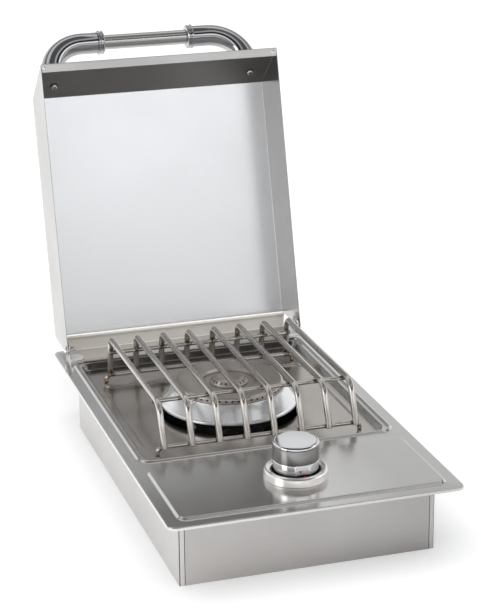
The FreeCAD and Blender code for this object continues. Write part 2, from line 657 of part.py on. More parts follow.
pad(clip, tab, 12, middle=True)

# Heat shield between the burner and the valve, with ways for the tubes, pipe and lead
shield = newBody("heat_shield")
wall = newSketch(shield, "ShieldWall", "XZ_Plane", offset=112)
polygon(wall, [(-135.6, 2), (135.6, 2), (135.6, 12.4), (143.8, 12.4), (143.8, 84.8), (-143.8, 84.8),
               (-143.8, 12.4), (-135.6, 12.4)])
pad(shield, wall, 1)
block(shield, "ShieldFoot", -135, -126, 135, -112, 1, 1.2)
ways = newSketch(shield, "ShieldHoles", "XZ_Plane", offset=120)
for x in (-tubeX, tubeX):
    circle(ways, x, tubeZ, 11)
circle(ways, pipeX, tubeZ, 7)
circle(ways, electrodeX, 44, 3.5)
pocket(shield, ways, 20)

# Spark ignition: electrode in a ceramic sleeve beside the ring, lead, and spark unit on its stand
sleeve = turned("igniter_sleeve", [(0.9, 60), (2.4, 60), (2.4, 72), (4, 72), (4, 74.5), (2.6, 75.5),
                                   (2.6, 103), (2, 104.4), (0.9, 104.4)])
sleeve.Placement = Placement(Vector(electrodeX, electrodeY, 0), Rotation())
rod = newBody("igniter_electrode")
path = newSketch(rod, "ElectrodePath", "XZ_Plane")
bentPath(path, [(0, 58), (0, 106.6), (2.6, 109)], [1.6])
section = newSketch(rod, "ElectrodeSection", offset=58)
circle(section, 0, 0, 0.85)
pipe(rod, section, path)
rod.Placement = Placement(Vector(electrodeX, electrodeY, 0), Rotation(Vector(0, 0, 1), 35))
lead = newBody("igniter_lead")
path = newSketch(lead, "LeadPath", "YZ_Plane", offset=electrodeX)
bentPath(path, [(electrodeY, 57.8), (electrodeY, 44), (-150, 44)], [9])
section = newSketch(lead, "LeadSection", offset=57.8)
circle(section, electrodeX, electrodeY, 1.4)
pipe(lead, section, path)
unit = newBody("spark_unit")
block(unit, "UnitBlock", -71, -176, -43, -150, 32, 22)
unitStand = newBody("spark_unit_stand")
section = newSketch(unitStand, "StandSection", "YZ_Plane", offset=electrodeX)
polygon(section, [(-150, 1), (-150, 2.4), (-176.1, 2.4), (-176.1, 54), (-177.5, 54), (-177.5, 1)])
pad(unitStand, section, 24, middle=True)

# Lid, drawn closed and then turned back about the hinge line to the open position
opened = Placement(Vector(0, 0, 0), Rotation(Vector(-1, 0, 0), sizes["lidOpen"]), Vector(0, pivotY, pivotZ))
lowZ = rimTop + sizes["lidGap"]
highZ = lowZ + sizes["lidDepth"]
rearHigh = 237.35
rearLow = rearHigh + sizes["lidRearLean"]
frontHigh = rearHigh - sizes["lidLength"]
frontLow = frontHigh - sizes["lidFrontLean"]
lean = math.atan2(sizes["lidFrontLean"], sizes["lidDepth"])
thin = sizes["lidSheet"]
lid = newBody("lid_shell")
profile = newSketch(lid, "LidProfile", "YZ_Plane")
corner = [(rearLow - 0.4 - 7 + 7 * math.cos(math.radians(a)), lowZ + 7 + 7 * math.sin(math.radians(a)))
          for a in (-90, -72, -54, -36, -18, 0, 14)]
polygon(profile, [(frontLow, lowZ)] + corner + [(rearHigh, highZ), (frontHigh, highZ)])
pad(lid, profile, "lidWidth", middle=True)
inside = newSketch(lid, "LidInside", "YZ_Plane")
wallTop = frontHigh + thin * math.cos(lean) - (thin - thin * math.sin(lean)) * math.tan(lean)
wallLow = wallTop - (highZ - thin - 70) * math.tan(lean)
polygon(inside, [(wallLow, 70), (300, 70), (300, highZ - thin), (wallTop, highZ - thin)])
pocket(lid, inside, ("lidWidth", 1, -1.6), middle=True)
flange = newSketch(lid, "FrontReturn", "YZ_Plane")
polygon(flange, [(frontLow + 0.3, lowZ), (frontLow + 11, lowZ), (frontLow + 11, lowZ + thin),
                 (frontLow + 0.8, lowZ + thin)])
pad(lid, flange, ("lidWidth", 1, -1), middle=True)
hem = newSketch(lid, "RearHem", "YZ_Plane")
polygon(hem, [(rearHigh - 0.9, highZ - 8), (rearHigh - 0.1, highZ - 8), (rearHigh - 0.1, highZ - 0.4),
              (rearHigh - 0.9, highZ - 0.4)])
pad(lid, hem, ("lidWidth", 1, -1), middle=True)
bore = newSketch(lid, "RivetHoles", offset=lowZ - 2)
for x in (-149.5, 149.5):
    circle(bore, x, frontLow + 5.6, 1.52)
pocket(lid, bore, 4, back=True)
bore = newSketch(lid, "PivotHoles", "YZ_Plane")
circle(bore, "pivotY", "pivotZ", ("pivotRadius", 1, 0.06))
pocket(lid, bore, 340, middle=True)
down = sizes["handleDown"]
handleY = frontHigh - down * math.sin(lean)
handleZ = highZ - down * math.cos(lean)
handleTurn = Rotation(Vector(1, 0, 0), 90 + math.degrees(math.pi / 2 - lean))
onWall = Placement(Vector(0, handleY, handleZ), handleTurn)
holes = newSketch(lid, "HandleHoles")
holes.AttachmentOffset = onWall.multiply(Placement(Vector(0, 5, 0), Rotation(Vector(1, 0, 0), -90)))
span = sizes["handleSpan"] / 2
for x in (-span, span):
    circle(holes, x, 0, 2.7)
pocket(lid, holes, 10)
lid.Placement = opened
rivet = turned("lidRivet", [(0, 1.1), (1.2, 0.9), (2, 0.2), (2, 0), (1.5, 0), (1.5, -0.8), (2, -0.8),
                            (2, -1.1), (0, -1.4)], keep=False)
copies("lid_rivets", rivet, [opened.multiply(Placement(Vector(x, frontLow + 5.6, lowZ), facing(0, 0, -1)))
                             for x in (-149.5, 149.5)])

# Handle: two cast elbows, flared collars, brushed grip tube, base rings and inside screws
handlePlace = opened.multiply(onWall)
stand = sizes["handleStand"]
bend = 46


def handleElbow(name, side):
    body = newBody(name)
    path = newSketch(body, name + "Path")
    bentPath(path, [(side * span, 0), (side * span, stand), (side * 63, stand)], [bend])
    section = newSketch(body, name + "Section", "XZ_Plane")
    circle(section, side * span, 0, "elbowRadius")
    pipe(body, section, path)
    socket = newSketch(body, name + "Socket", "YZ_Plane", offset=side * 60)
    circle(socket, "handleStand", 0, ("gripRadius", 1, 0.05))
    pocket(body, socket, 11, back=side > 0)
    tapped = newSketch(body, name + "Tapped", "XZ_Plane")
    circle(tapped, side * span, 0, 2.45)
    pocket(body, tapped, 13)
    body.Placement = handlePlace


handleElbow("handle_elbow_left", -1)
handleElbow("handle_elbow_right", 1)
collar = turned("handleCollar", [(9.46, 0), (15.7, 0), (15.9, 0.6), (15.7, 1.8), (14.3, 2.6), (14.1, 3.6),
                                 (14.4, 4.4), (15.3, 5), (15.3, 6.4), (14.3, 7.4), (10.8, 8), (9.46, 8)],
                keep=False)
copies("handle_collars", collar, [handlePlace.multiply(Placement(Vector(s * 63, stand, 0), facing(-s, 0, 0)))
                                  for s in (-1, 1)])
grip = newBody("handle_grip")
section = newSketch(grip, "GripSection", "YZ_Plane")
circle(section, "handleStand", 0, "gripRadius")
circle(section, "handleStand", 0, ("gripRadius", 1, -1.2))
pad(grip, section, 140, middle=True)
grip.Placement = handlePlace
foot = turned("handleBase", [(13.65, 0), (16.6, 0), (16.6, 1.6), (15.4, 3.2), (13.65, 3.2)], keep=False)
copies("handle_base_rings", foot, [handlePlace.multiply(Placement(Vector(x, 0, 0), facing(0, 1, 0)))
                                   for x in (-span, span)])
washer = turned("handleWasher", [(2.7, 0.8), (5.6, 0.8), (5.6, 1.8), (2.7, 1.8)], keep=False)
copies("handle_washers", washer, [handlePlace.multiply(Placement(Vector(x, 0, 0), facing(0, -1, 0)))
                                  for x in (-span, span)])
bolt = turned("handleScrew", [(0, 4.5), (2.2, 4.4), (3.7, 3.6), (4.3, 2.4), (4.3, 1.8), (2.4, 1.8),
                              (2.4, -11), (0, -11)], keep=False)
cut = newSketch(bolt, "HandleScrewSlot", offset=3.6)
roundRect(cut, -2.4, -0.45, 2.4, 0.45, 0)
roundRect(cut, -0.45, 0.6, 0.45, 2.4, 0)
roundRect(cut, -0.45, -2.4, 0.45, -0.6, 0)
pocket(bolt, cut, 3, back=True)
copies("handle_screws", bolt, [handlePlace.multiply(Placement(Vector(x, 0, 0), facing(0, -1, 0)))
                               for x in (-span, span)])

# Grate: bent bars on four cross rods, the lower rods bent down at both ends to stand in the pan
barTop = sizes["rodTop"]
crossRadius = 2.6
weld = sizes["rodRadius"] + crossRadius - 0.2
frontCorner, frontFoot = (-50, barTop), (-70.7, 86.2)
rearCorner, rearFoot = (175.5, barTop), (184.5, 85.5)
bar = newBody("grateBar", keep=False)
path = newSketch(bar, "BarPath", "YZ_Plane")
bentPath(path, [frontFoot, frontCorner, rearCorner, rearFoot], [20, 9])
section = newSketch(bar, "BarSection")
legRise = Vector(0, frontCorner[0] - frontFoot[0], frontCorner[1] - frontFoot[1])
legTurn = Rotation(Vector(0, 0, 1), legRise)
section.AttachmentOffset = Placement(Vector(0, frontFoot[0], frontFoot[1]), legTurn)
circle(section, 0, 0, "rodRadius")
pipe(bar, section, path)
pitch, count = sizes["rodPitch"], sizes["rodCount"]
barX = [(i - (count - 1) / 2) * pitch for i in range(count)]
copies("grate_bars", bar, [Placement(Vector(x, 0, 0), Rotation()) for x in barX])


# The place of a rod welded behind the front legs or before the rear legs, at a given height
def besideLeg(foot, corner, z, side):
    lean = (corner[0] - foot[0]) / (corner[1] - foot[1])
    return foot[0] + lean * (z - foot[1]) + side * weld * math.sqrt(1 + lean * lean)


rearTopZ, lowRodZ = 118.2, 87.2
for name, y, z in (("grate_rod_front_top", -26, barTop - weld),
                   ("grate_rod_rear_top", besideLeg(rearFoot, rearCorner, rearTopZ, -1), rearTopZ)):
    rod = newBody(name)
    section = newSketch(rod, name + "Section", "YZ_Plane")
    circle(section, y, z, crossRadius)
    pad(rod, section, pitch * 7 + 5, middle=True)
half = sizes["footSpan"] / 2
footEnd = sizes["footEnd"]
for name, y in (("grate_rod_front_low", besideLeg(frontFoot, frontCorner, lowRodZ, 1)),
                ("grate_rod_rear_low", besideLeg(rearFoot, rearCorner, lowRodZ, -1))):
    rod = newBody(name)
    path = newSketch(rod, name + "Path", "XZ_Plane", offset=-y)
    bentPath(path, [(-half, footEnd), (-half, lowRodZ), (half, lowRodZ), (half, footEnd)], [6.5, 6.5])
    section = newSketch(rod, name + "Section", offset=footEnd)
    circle(section, -half, y, crossRadius)
    pipe(rod, section, path)

doc.recompute()
faults = []
for item in doc.Objects:
    if "Invalid" in item.State or "Error" in item.State:
        faults.append("%s %s" % (item.Name, item.State))
for node in nodes:
    shape = node.Shape
    if shape.isNull() or not shape.isValid() or not shape.Solids:
        faults.append("%s has no valid solid" % node.Label)
if faults:
    raise RuntimeError("; ".join(faults))
for node in nodes:
    node.Shape.exportStep("parts/%s.step" % node.Label)
    box = node.Shape.BoundBox
    print("%s solids %d volume %.0f x %.1f %.1f y %.1f %.1f z %.1f %.1f" % (
        node.Label, len(node.Shape.Solids), node.Shape.Volume, box.XMin, box.XMax, box.YMin, box.YMax,
        box.ZMin, box.ZMax))
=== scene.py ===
import bpy
import bmesh
import json
import math
from mathutils import Matrix, Vector

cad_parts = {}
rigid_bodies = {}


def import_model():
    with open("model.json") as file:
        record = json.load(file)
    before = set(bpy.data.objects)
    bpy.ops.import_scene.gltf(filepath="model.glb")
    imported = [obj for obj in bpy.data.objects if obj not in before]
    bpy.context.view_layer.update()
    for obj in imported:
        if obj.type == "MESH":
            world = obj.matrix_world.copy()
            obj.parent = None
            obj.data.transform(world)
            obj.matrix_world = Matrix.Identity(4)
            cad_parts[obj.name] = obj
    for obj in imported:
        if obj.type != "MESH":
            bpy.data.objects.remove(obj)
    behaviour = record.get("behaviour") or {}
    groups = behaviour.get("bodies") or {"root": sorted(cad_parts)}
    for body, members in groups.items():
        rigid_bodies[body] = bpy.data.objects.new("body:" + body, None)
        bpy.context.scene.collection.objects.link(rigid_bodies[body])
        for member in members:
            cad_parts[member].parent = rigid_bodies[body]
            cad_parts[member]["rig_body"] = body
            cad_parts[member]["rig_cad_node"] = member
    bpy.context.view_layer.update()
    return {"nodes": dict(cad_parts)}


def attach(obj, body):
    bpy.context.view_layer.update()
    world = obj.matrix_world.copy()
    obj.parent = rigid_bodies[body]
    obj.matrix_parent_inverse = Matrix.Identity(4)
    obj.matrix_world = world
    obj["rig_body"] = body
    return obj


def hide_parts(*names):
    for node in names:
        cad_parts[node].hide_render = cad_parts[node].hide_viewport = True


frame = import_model()
nodes = frame["nodes"]
mm = 0.001
closeBy = 0.000002  # points nearer than this are one
print("frame loaded:", len(nodes), "nodes")

# Working helpers

def deselectAll():
    if bpy.context.mode != "OBJECT":
        bpy.ops.object.mode_set(mode="OBJECT")
    bpy.ops.object.select_all(action="DESELECT")


def useOnly(piece):
    deselectAll()
    piece.select_set(True)
    bpy.context.view_layer.objects.active = piece


def editAll(piece):  # into edit mode with all of the mesh selected
    useOnly(piece)
    bpy.ops.object.mode_set(mode="EDIT")
    bpy.ops.mesh.select_all(action="SELECT")


def pushEdges(step):
    bpy.ops.mesh.extrude_edges_move(TRANSFORM_OT_translate={"value": step})


def vec(x, y, z):
    return Vector((x, y, z)) * mm


def settle(piece):  # put an object's place and turn into its mesh
    useOnly(piece)
    bpy.ops.object.transform_apply(location=True, rotation=True, scale=True)


def placed(piece, matrix):
    piece.matrix_world = matrix
    settle(piece)
    return piece


def emptyPiece(name):  # a piece with no mesh yet, in edit mode
    deselectAll()
    bpy.ops.mesh.primitive_plane_add(size=mm, location=(0, 0, 0))
    piece = bpy.context.object
    piece.name = name
    bpy.ops.object.mode_set(mode="EDIT")
    bpy.ops.mesh.select_mode(type="VERT")
    bpy.ops.mesh.select_all(action="SELECT")
    bpy.ops.mesh.delete(type="VERT")
    return piece


def drawLine(points):  # in edit mode, one vertex and then an edge to each next point, in mm
    bpy.ops.mesh.primitive_plane_add(size=mm, location=(0, 0, 0))
    bpy.ops.mesh.merge(type="CENTER")
    bpy.ops.transform.translate(value=vec(*points[0]))
    for before, after in zip(points, points[1:]):
        step = vec(*[b - a for a, b in zip(before, after)])
        bpy.ops.mesh.extrude_vertices_move(TRANSFORM_OT_translate={"value": step})


def pick(piece, verts=None, edges=None, faces=None):  # select by a test, in edit mode
    mesh = bmesh.from_edit_mesh(piece.data)
    bpy.ops.mesh.select_all(action="DESELECT")
    if verts:
        bpy.ops.mesh.select_mode(type="VERT")
        for v in mesh.verts:
            v.select_set(bool(verts(v)))
    if edges:
        bpy.ops.mesh.select_mode(type="EDGE")
        for e in mesh.edges:
            e.select_set(bool(edges(e)))
    if faces:
        bpy.ops.mesh.select_mode(type="FACE")
        for f in mesh.faces:
            f.select_set(bool(faces(f)))
    mesh.select_flush_mode()
    bmesh.update_edit_mesh(piece.data)


def cleanUp(piece, merge=closeBy):
    editAll(piece)
    bpy.ops.mesh.remove_doubles(threshold=merge)
    bpy.ops.mesh.normals_make_consistent(inside=False)
    bpy.ops.object.mode_set(mode="OBJECT")


def smooth(piece, angle=35):
    useOnly(piece)
    bpy.ops.object.shade_smooth_by_angle(angle=math.radians(angle))


def applyModifier(piece, kind, **values):
    useOnly(piece)
    modifier = piece.modifiers.new(kind.title(), kind)
    for key, value in values.items():
        setattr(modifier, key, value)
    bpy.ops.object.modifier_apply(modifier=modifier.name)


def evenNormals(piece):
    applyModifier(piece, "WEIGHTED_NORMAL", keep_sharp=True, weight=80)


def arc(x, y, radius, start, end, count):  # points on an arc, angles in degrees
    turns = [math.radians(start + (end - start) * i / count) for i in range(count + 1)]
    return [(x + radius * math.cos(a), y + radius * math.sin(a)) for a in turns]


def rounded(points, count):  # each point is (radius, height) or (radius, height, fillet)
    made = []
    for i, point in enumerate(points):
        here = Vector(point[:2])
        if len(point) == 2:
            made.append((here.x, here.y))
            continue
        fillet = point[2]
        before = (Vector(points[i - 1][:2]) - here).normalized()
        after = (Vector(points[i + 1][:2]) - here).normalized()
        half = before.angle(after) / 2
        reach = fillet / math.tan(half)
        a, b = here + before * reach, here + after * reach
        centre = here + (before + after).normalized() * (fillet / math.sin(half))
        for step in range(count + 1):
            t = step / count
            p = a.lerp(b, t) - centre
            p = centre + p.normalized() * fillet
            made.append((p.x, p.y))
    return made


# A profile of radius and height spun round its axis, which then points the given way
def turned(name, profile, place=(0, 0, 0), towards=(0, 0, 1), steps=96, closed=True):
    piece = emptyPiece(name)
    outline = profile + ([profile[0]] if closed else [])
    drawLine([(radius, 0, height) for radius, height in outline])
    bpy.ops.mesh.select_all(action="SELECT")
    bpy.ops.mesh.remove_doubles(threshold=closeBy)
    bpy.ops.mesh.spin(steps=steps, angle=math.tau, center=(0, 0, 0), axis=(0, 0, 1))
    cleanUp(piece)
    turn = Vector((0, 0, 1)).rotation_difference(Vector(towards))
    placed(piece, Matrix.Translation(vec(*place)) @ turn.to_matrix().to_4x4())
    smooth(piece)
    return piece


# A round section pushed along straight runs and spun round the bends, with rounded ends
def bentRod(name, points, bends, radius, matrix=None, sides=20, endRound=0.5, degreesPerStep=7):
    deselectAll()
    path = [vec(*p) for p in points]
    ahead = (path[1] - path[0]).normalized()
    bpy.ops.mesh.primitive_circle_add(vertices=sides, radius=radius * mm, location=path[0],
                                      rotation=ahead.to_track_quat("Z", "Y").to_euler())
    piece = bpy.context.object
    piece.name = name
    settle(piece)
    editAll(piece)
    at = path[0]
    for i in range(1, len(path) - 1):
        corner, bend = path[i], bends[i - 1] * mm
        a, b = (path[i - 1] - corner).normalized(), (path[i + 1] - corner).normalized()
        half = a.angle(b) / 2
        start = corner + a * (bend / math.tan(half))
        centre = corner + (a + b).normalized() * (bend / math.sin(half))
        if (start - at).length > 0.1 * mm:
            pushEdges(start - at)
        turnAngle = math.pi - 2 * half
        steps = max(4, round(turnAngle / math.radians(degreesPerStep)))
        bpy.ops.mesh.spin(steps=steps, angle=turnAngle, center=centre, axis=a.cross(b).normalized())
        at = corner + b * (bend / math.tan(half))
    final = (path[-1] - path[-2]).normalized()
    pushEdges(path[-1] - final * endRound * mm - at)
    early, late = 0.7, 0.3  # shares of the end's rounding in its two steps
    inset = 1 - endRound / radius
    firstInset = 1 - (1 - inset) * late

    def closeEnd(place, way):  # two steps round the edge, then the flat face
        for size, step in ((firstInset, early), (inset / firstInset, late)):
            pushEdges(way * endRound * mm * step)
            bpy.ops.transform.resize(value=(size, size, size), center_override=place)
        bpy.ops.mesh.edge_face_add()

    def onFirstRing(v):
        off = v.co - path[0]
        return off.length < radius * mm * 1.05 and abs(off.dot(ahead)) < 5 * closeBy

    closeEnd(path[-1], final)
    pick(piece, verts=onFirstRing)
    bpy.ops.transform.translate(value=ahead * endRound * mm)
    closeEnd(path[0], -ahead)
    cleanUp(piece)
    if matrix:
        placed(piece, matrix)
    smooth(piece, 50)
    return piece


def twin(piece, name, matrix):
    useOnly(piece)
    bpy.ops.object.duplicate(linked=False)
    other = bpy.context.object
    other.name = name
    return placed(other, matrix)


def joined(name, pieces):
    useOnly(pieces[0])
    for piece in pieces:
        piece.select_set(True)
    bpy.ops.object.join()
    whole = bpy.context.object
    whole.name = name
    return whole


def finishPiece(piece, finishName, body, node):
    piece.data.materials.clear()
    piece.data.materials.append(finishes[finishName])
    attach(piece, body)
    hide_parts(node)
    print("made", piece.name, len(piece.data.polygons), "faces")


# Another finish for the faces whose normal n and middle c pass a test, as they were before the piece's turn
def giveFaces(piece, finishName, test, turn=Matrix()):
    back = turn.inverted()
    straight = back.to_3x3()
    piece.data.materials.append(finishes[finishName])
    index = len(piece.data.materials) - 1
    for face in piece.data.polygons:
        if test(straight @ face.normal, back @ face.center):
            face.material_index = index


# Working helpers for finishes

def newTree(name):
    material = bpy.data.materials.new(name)
    material.use_nodes = True
    tree = material.node_tree
    shader = next(n for n in tree.nodes if n.type == "BSDF_PRINCIPLED")
    return material, tree, shader


def nodeOn(tree, kind, values, **settings):  # a node with each input linked or set
    node = tree.nodes.new("ShaderNode" + kind)
    for key, setting in settings.items():
        setattr(node, key, setting)
    for key, value in values.items():
        if isinstance(value, bpy.types.NodeSocket):
            tree.links.new(value, node.inputs[key])
        else:
            node.inputs[key].default_value = value
    return node.outputs


def noiseAt(tree, vector, size, detail=3.0, rough=0.55):
    values = {"Vector": vector, "Scale": size, "Detail": detail, "Roughness": rough}
    return nodeOn(tree, "TexNoise", values)["Fac"]


def spread(tree, value, low, high, fromLow=0.3, fromHigh=0.7):
    values = {"Value": value, "From Min": fromLow, "From Max": fromHigh, "To Min": low, "To Max": high}
    return nodeOn(tree, "MapRange", values)["Result"]


def blendColours(tree, factor, first, second):
    return nodeOn(tree, "Mix", {0: factor, 6: first, 7: second}, data_type="RGBA")[2]


def mathOn(tree, operation, first, second=0.0):
    return nodeOn(tree, "Math", {0: first, 1: second}, operation=operation)[0]


def partsOf(tree, vector):
    return nodeOn(tree, "SeparateXYZ", {0: vector})


def lengthOf(tree, vector):
    return nodeOn(tree, "VectorMath", {0: vector}, operation="LENGTH")["Value"]


def objectVector(tree, stretch=(1, 1, 1), centre=(0, 0, 0)):  # the centre in mm
    values = {"Vector": nodeOn(tree, "TexCoord", {})["Object"], "Scale": stretch,
              "Location": [-c * mm * s for c, s in zip(centre, stretch)]}
    return nodeOn(tree, "Mapping", values, vector_type="POINT")["Vector"]


def roundVector(tree, centre):  # distance from an upright axis, and height, for marks left by turning
    x, y, height = partsOf(tree, objectVector(tree, centre=(*centre, 0)))
    flat = nodeOn(tree, "CombineXYZ", {0: x, 1: y})[0]
    return nodeOn(tree, "CombineXYZ", {0: lengthOf(tree, flat), 1: height})[0]


def bumpFrom(tree, shader, value, strength):
    bump = nodeOn(tree, "Bump", {"Height": value, "Strength": strength, "Distance": 0.2 * mm})
    tree.links.new(bump["Normal"], shader.inputs["Normal"])


def shadeOf(tree, shader, factor, dark, light):  # base colour between two shades
    tree.links.new(blendColours(tree, factor, (*dark, 1), (*light, 1)), shader.inputs["Base Color"])


# Fine grain mixed with broad clouds, which sets both the colour, from light to dark, and the roughness
def metal(name, light, dark, rough, grain=(1, 1, 1), grainSize=900, bump=0.0, patch=18, patchAmount=0.35,
          metallic=1.0, ringCentre=None):
    material, tree, shader = newTree(name)
    if ringCentre:
        grainVector = roundVector(tree, ringCentre)
    else:
        grainVector = objectVector(tree, grain)
    lines = noiseAt(tree, grainVector, grainSize, 4.0, 0.65)
    clouds = noiseAt(tree, objectVector(tree), patch, 2.0)
    both = nodeOn(tree, "Mix", {0: patchAmount, 2: lines, 3: clouds})[0]
    shadeOf(tree, shader, spread(tree, both, 0.0, 1.0), dark, light)
    tree.links.new(spread(tree, both, rough[1], rough[0]), shader.inputs["Roughness"])
    shader.inputs["Metallic"].default_value = metallic
    if bump:
        bumpFrom(tree, shader, lines, bump)
    return material


def coatedSurface(name, light, dark, rough, size=400):  # plastic, paint, ceramic or rubber
    material, tree, shader = newTree(name)
    grainy = noiseAt(tree, objectVector(tree), size, 4.0)
    shadeOf(tree, shader, spread(tree, grainy, 0.0, 1.0), dark, light)
    tree.links.new(spread(tree, grainy, *rough), shader.inputs["Roughness"])
    bumpFrom(tree, shader, grainy, 0.05)
    return material


def nearLine(tree, y, z, reach):  # 1 beside a line that runs along X, fading to 0 at the reach, all in mm
    away = lengthOf(tree, objectVector(tree, stretch=(0, 1, 1), centre=(0, y, z)))
    return spread(tree, away, 1.0, 0.0, reach[0] * mm, reach[1] * mm)


def nearBars(tree, pitch, reach):  # 1 in the middle of each bar, fading to 0 at the reach, all in mm
    across = mathOn(tree, "MULTIPLY", partsOf(tree, objectVector(tree))[0], 1 / (pitch * mm))
    within = mathOn(tree, "FRACT", mathOn(tree, "ADD", across, 100.0))
    off = mathOn(tree, "ABSOLUTE", mathOn(tree, "SUBTRACT", within, 0.5))
    return spread(tree, off, 1.0, 0.0, reach[0] / pitch, reach[1] / pitch)


def mottled(tree, size, least, start=0.4, end=0.6):  # small clouds between the least value and 1
    return spread(tree, noiseAt(tree, objectVector(tree), size), least, 1.0, start, end)


def tinted(material, mask, colour):  # lay a colour over the base colour where the mask is 1
    tree = material.node_tree
    shader = next(n for n in tree.nodes if n.type == "BSDF_PRINCIPLED")
    below = shader.inputs["Base Color"].links[0].from_socket
    tree.links.new(blendColours(tree, mask, below, (*colour, 1)), shader.inputs["Base Color"])


alongX, upAndDown = (0.008, 1, 1), (0.05, 0.05, 1)  # the way the grain is drawn out
burnerAt, stemAt = (0, 56), (0, -189)  # middles of the burner and of the knob, in mm
metals = {
    "rimSteel": dict(light=(0.76, 0.745, 0.725), dark=(0.71, 0.695, 0.675), rough=(0.17, 0.22), grain=alongX),
    # painted shade: the sunk pan floor is a darker copy of the plate's steel
    "panShadedSteel": dict(light=(0.485, 0.45, 0.415), dark=(0.435, 0.4, 0.37), rough=(0.17, 0.24), grain=alongX,
                     patch=12, patchAmount=0.6),
    "drawnSteel": dict(light=(0.72, 0.71, 0.695), dark=(0.64, 0.63, 0.61), rough=(0.16, 0.24), grain=alongX,
                       grainSize=500),
    # painted shade: the pan's rear wall is darkened for the dark it reflects
    "rearWallShadedSteel": dict(light=(0.24, 0.225, 0.21), dark=(0.19, 0.18, 0.165), rough=(0.16, 0.24),
                          grain=alongX, grainSize=500),
    "coverSteel": dict(light=(0.56, 0.55, 0.54), dark=(0.5, 0.49, 0.48), rough=(0.26, 0.36), grain=alongX,
                       grainSize=700, patch=9, patchAmount=0.5),
    # painted shade: the lid's inner side walls are a darker copy of the lid's steel
    "lidSideShadedSteel": dict(light=(0.66, 0.65, 0.64), dark=(0.58, 0.57, 0.56), rough=(0.16, 0.24),
                         grain=(1, 0.1, 0.1), grainSize=500, patch=14, patchAmount=0.6),
    # painted shade: the lid's inner front wall is a near-black copy of the lid's steel
    "lidFrontShadedSteel": dict(light=(0.27, 0.255, 0.24), dark=(0.22, 0.21, 0.2), rough=(0.34, 0.44),
                          grain=alongX, grainSize=500, patch=10, patchAmount=0.5),
    "lidSteel": dict(light=(0.88, 0.89, 0.905), dark=(0.85, 0.86, 0.875), rough=(0.23, 0.27), grain=alongX,
                     grainSize=300, patch=9, patchAmount=0.8, metallic=0.82),
    "boxSteel": dict(light=(0.57, 0.56, 0.555), dark=(0.515, 0.505, 0.5), rough=(0.3, 0.38),
                     grain=upAndDown, grainSize=700, bump=0.01, patch=9, patchAmount=0.5),
    # painted shade: the box front is a darker copy of the box's steel, for the dimmer light it reflects
    "boxFrontShadedSteel": dict(light=(0.49, 0.475, 0.465), dark=(0.42, 0.405, 0.395), rough=(0.28, 0.36),
                       grain=upAndDown, grainSize=700, bump=0.01, patch=6, patchAmount=0.75),
    # painted sheen: a pale cream, almost unmetallic steel stands in for the bright reflection on the strip
    "upstandSheenSteel": dict(light=(0.97, 0.93, 0.87), dark=(0.89, 0.84, 0.77), rough=(0.12, 0.2), grain=alongX,
                         patch=20, patchAmount=0.5, metallic=0.15),
    "brightSteel": dict(light=(0.84, 0.84, 0.83), dark=(0.78, 0.78, 0.775), rough=(0.06, 0.13),
                        grainSize=700, patchAmount=0.7),
    # painted highlight: the upper faces of the bracket feet are near white
    "footPlateHighlight": dict(light=(0.97, 0.97, 0.96), dark=(0.92, 0.92, 0.91), rough=(0.3, 0.4), metallic=0.35),
    "screwSteel": dict(light=(0.62, 0.61, 0.6), dark=(0.44, 0.43, 0.42), rough=(0.16, 0.28), bump=0.02,
                       patchAmount=0.4),
    # painted shade: the washers are near black, for the dark recess round each screw
    "washerShadeSteel": dict(light=(0.14, 0.135, 0.13), dark=(0.09, 0.085, 0.08), rough=(0.25, 0.38), bump=0.02,
                       patchAmount=0.4),
    "chrome": dict(light=(0.72, 0.72, 0.73), dark=(0.66, 0.66, 0.67), rough=(0.03, 0.07), grainSize=500,
                   patchAmount=0.8),
    "handleChrome": dict(light=(0.49, 0.49, 0.5), dark=(0.44, 0.44, 0.45), rough=(0.03, 0.06),
                         grainSize=500, patchAmount=0.8),
    "gripSteel": dict(light=(0.62, 0.61, 0.6), dark=(0.53, 0.52, 0.51), rough=(0.16, 0.26),
                      grain=(0.02, 1, 1), bump=0.02),
    "castAluminium": dict(light=(0.94, 0.95, 0.965), dark=(0.87, 0.88, 0.895), rough=(0.18, 0.26),
                          grainSize=700, bump=0.01, patch=45, patchAmount=0.6, metallic=0.8,
                          ringCentre=burnerAt),
    "capMetal": dict(light=(0.66, 0.605, 0.56), dark=(0.56, 0.505, 0.46), rough=(0.28, 0.4), grainSize=700,
                     bump=0.02, ringCentre=burnerAt),
    # soot and painted shade: near black for the burner's undersides, hollows and port walls
    "sootAndShadeMetal": dict(light=(0.06, 0.054, 0.05), dark=(0.02, 0.018, 0.017), rough=(0.45, 0.65),
                      grainSize=300, bump=0.05, patch=40, patchAmount=0.6, metallic=0.3),
    "bezelSteel": dict(light=(0.94, 0.915, 0.89), dark=(0.84, 0.815, 0.79), rough=(0.2, 0.28), bump=0.02,
                       metallic=0.88, ringCentre=stemAt),
    "bandSteel": dict(light=(0.31, 0.305, 0.3), dark=(0.235, 0.23, 0.225), rough=(0.16, 0.26),
                      grain=(0.03, 0.03, 1), bump=0.02),
    "plainSteel": dict(light=(0.46, 0.465, 0.47), dark=(0.36, 0.365, 0.37), rough=(0.34, 0.5),
                       grainSize=300, bump=0.04, patch=60, patchAmount=0.8),
    # painted shade: near-black steel for parts seen only in the shade inside the box
    "insideShadeSteel": dict(light=(0.15, 0.15, 0.155), dark=(0.1, 0.1, 0.105), rough=(0.36, 0.5),
                      grainSize=300, bump=0.03, patch=50, patchAmount=0.7),
    "brass": dict(light=(0.6, 0.44, 0.2), dark=(0.44, 0.31, 0.13), rough=(0.3, 0.46), grainSize=600,
                  bump=0.04),
}
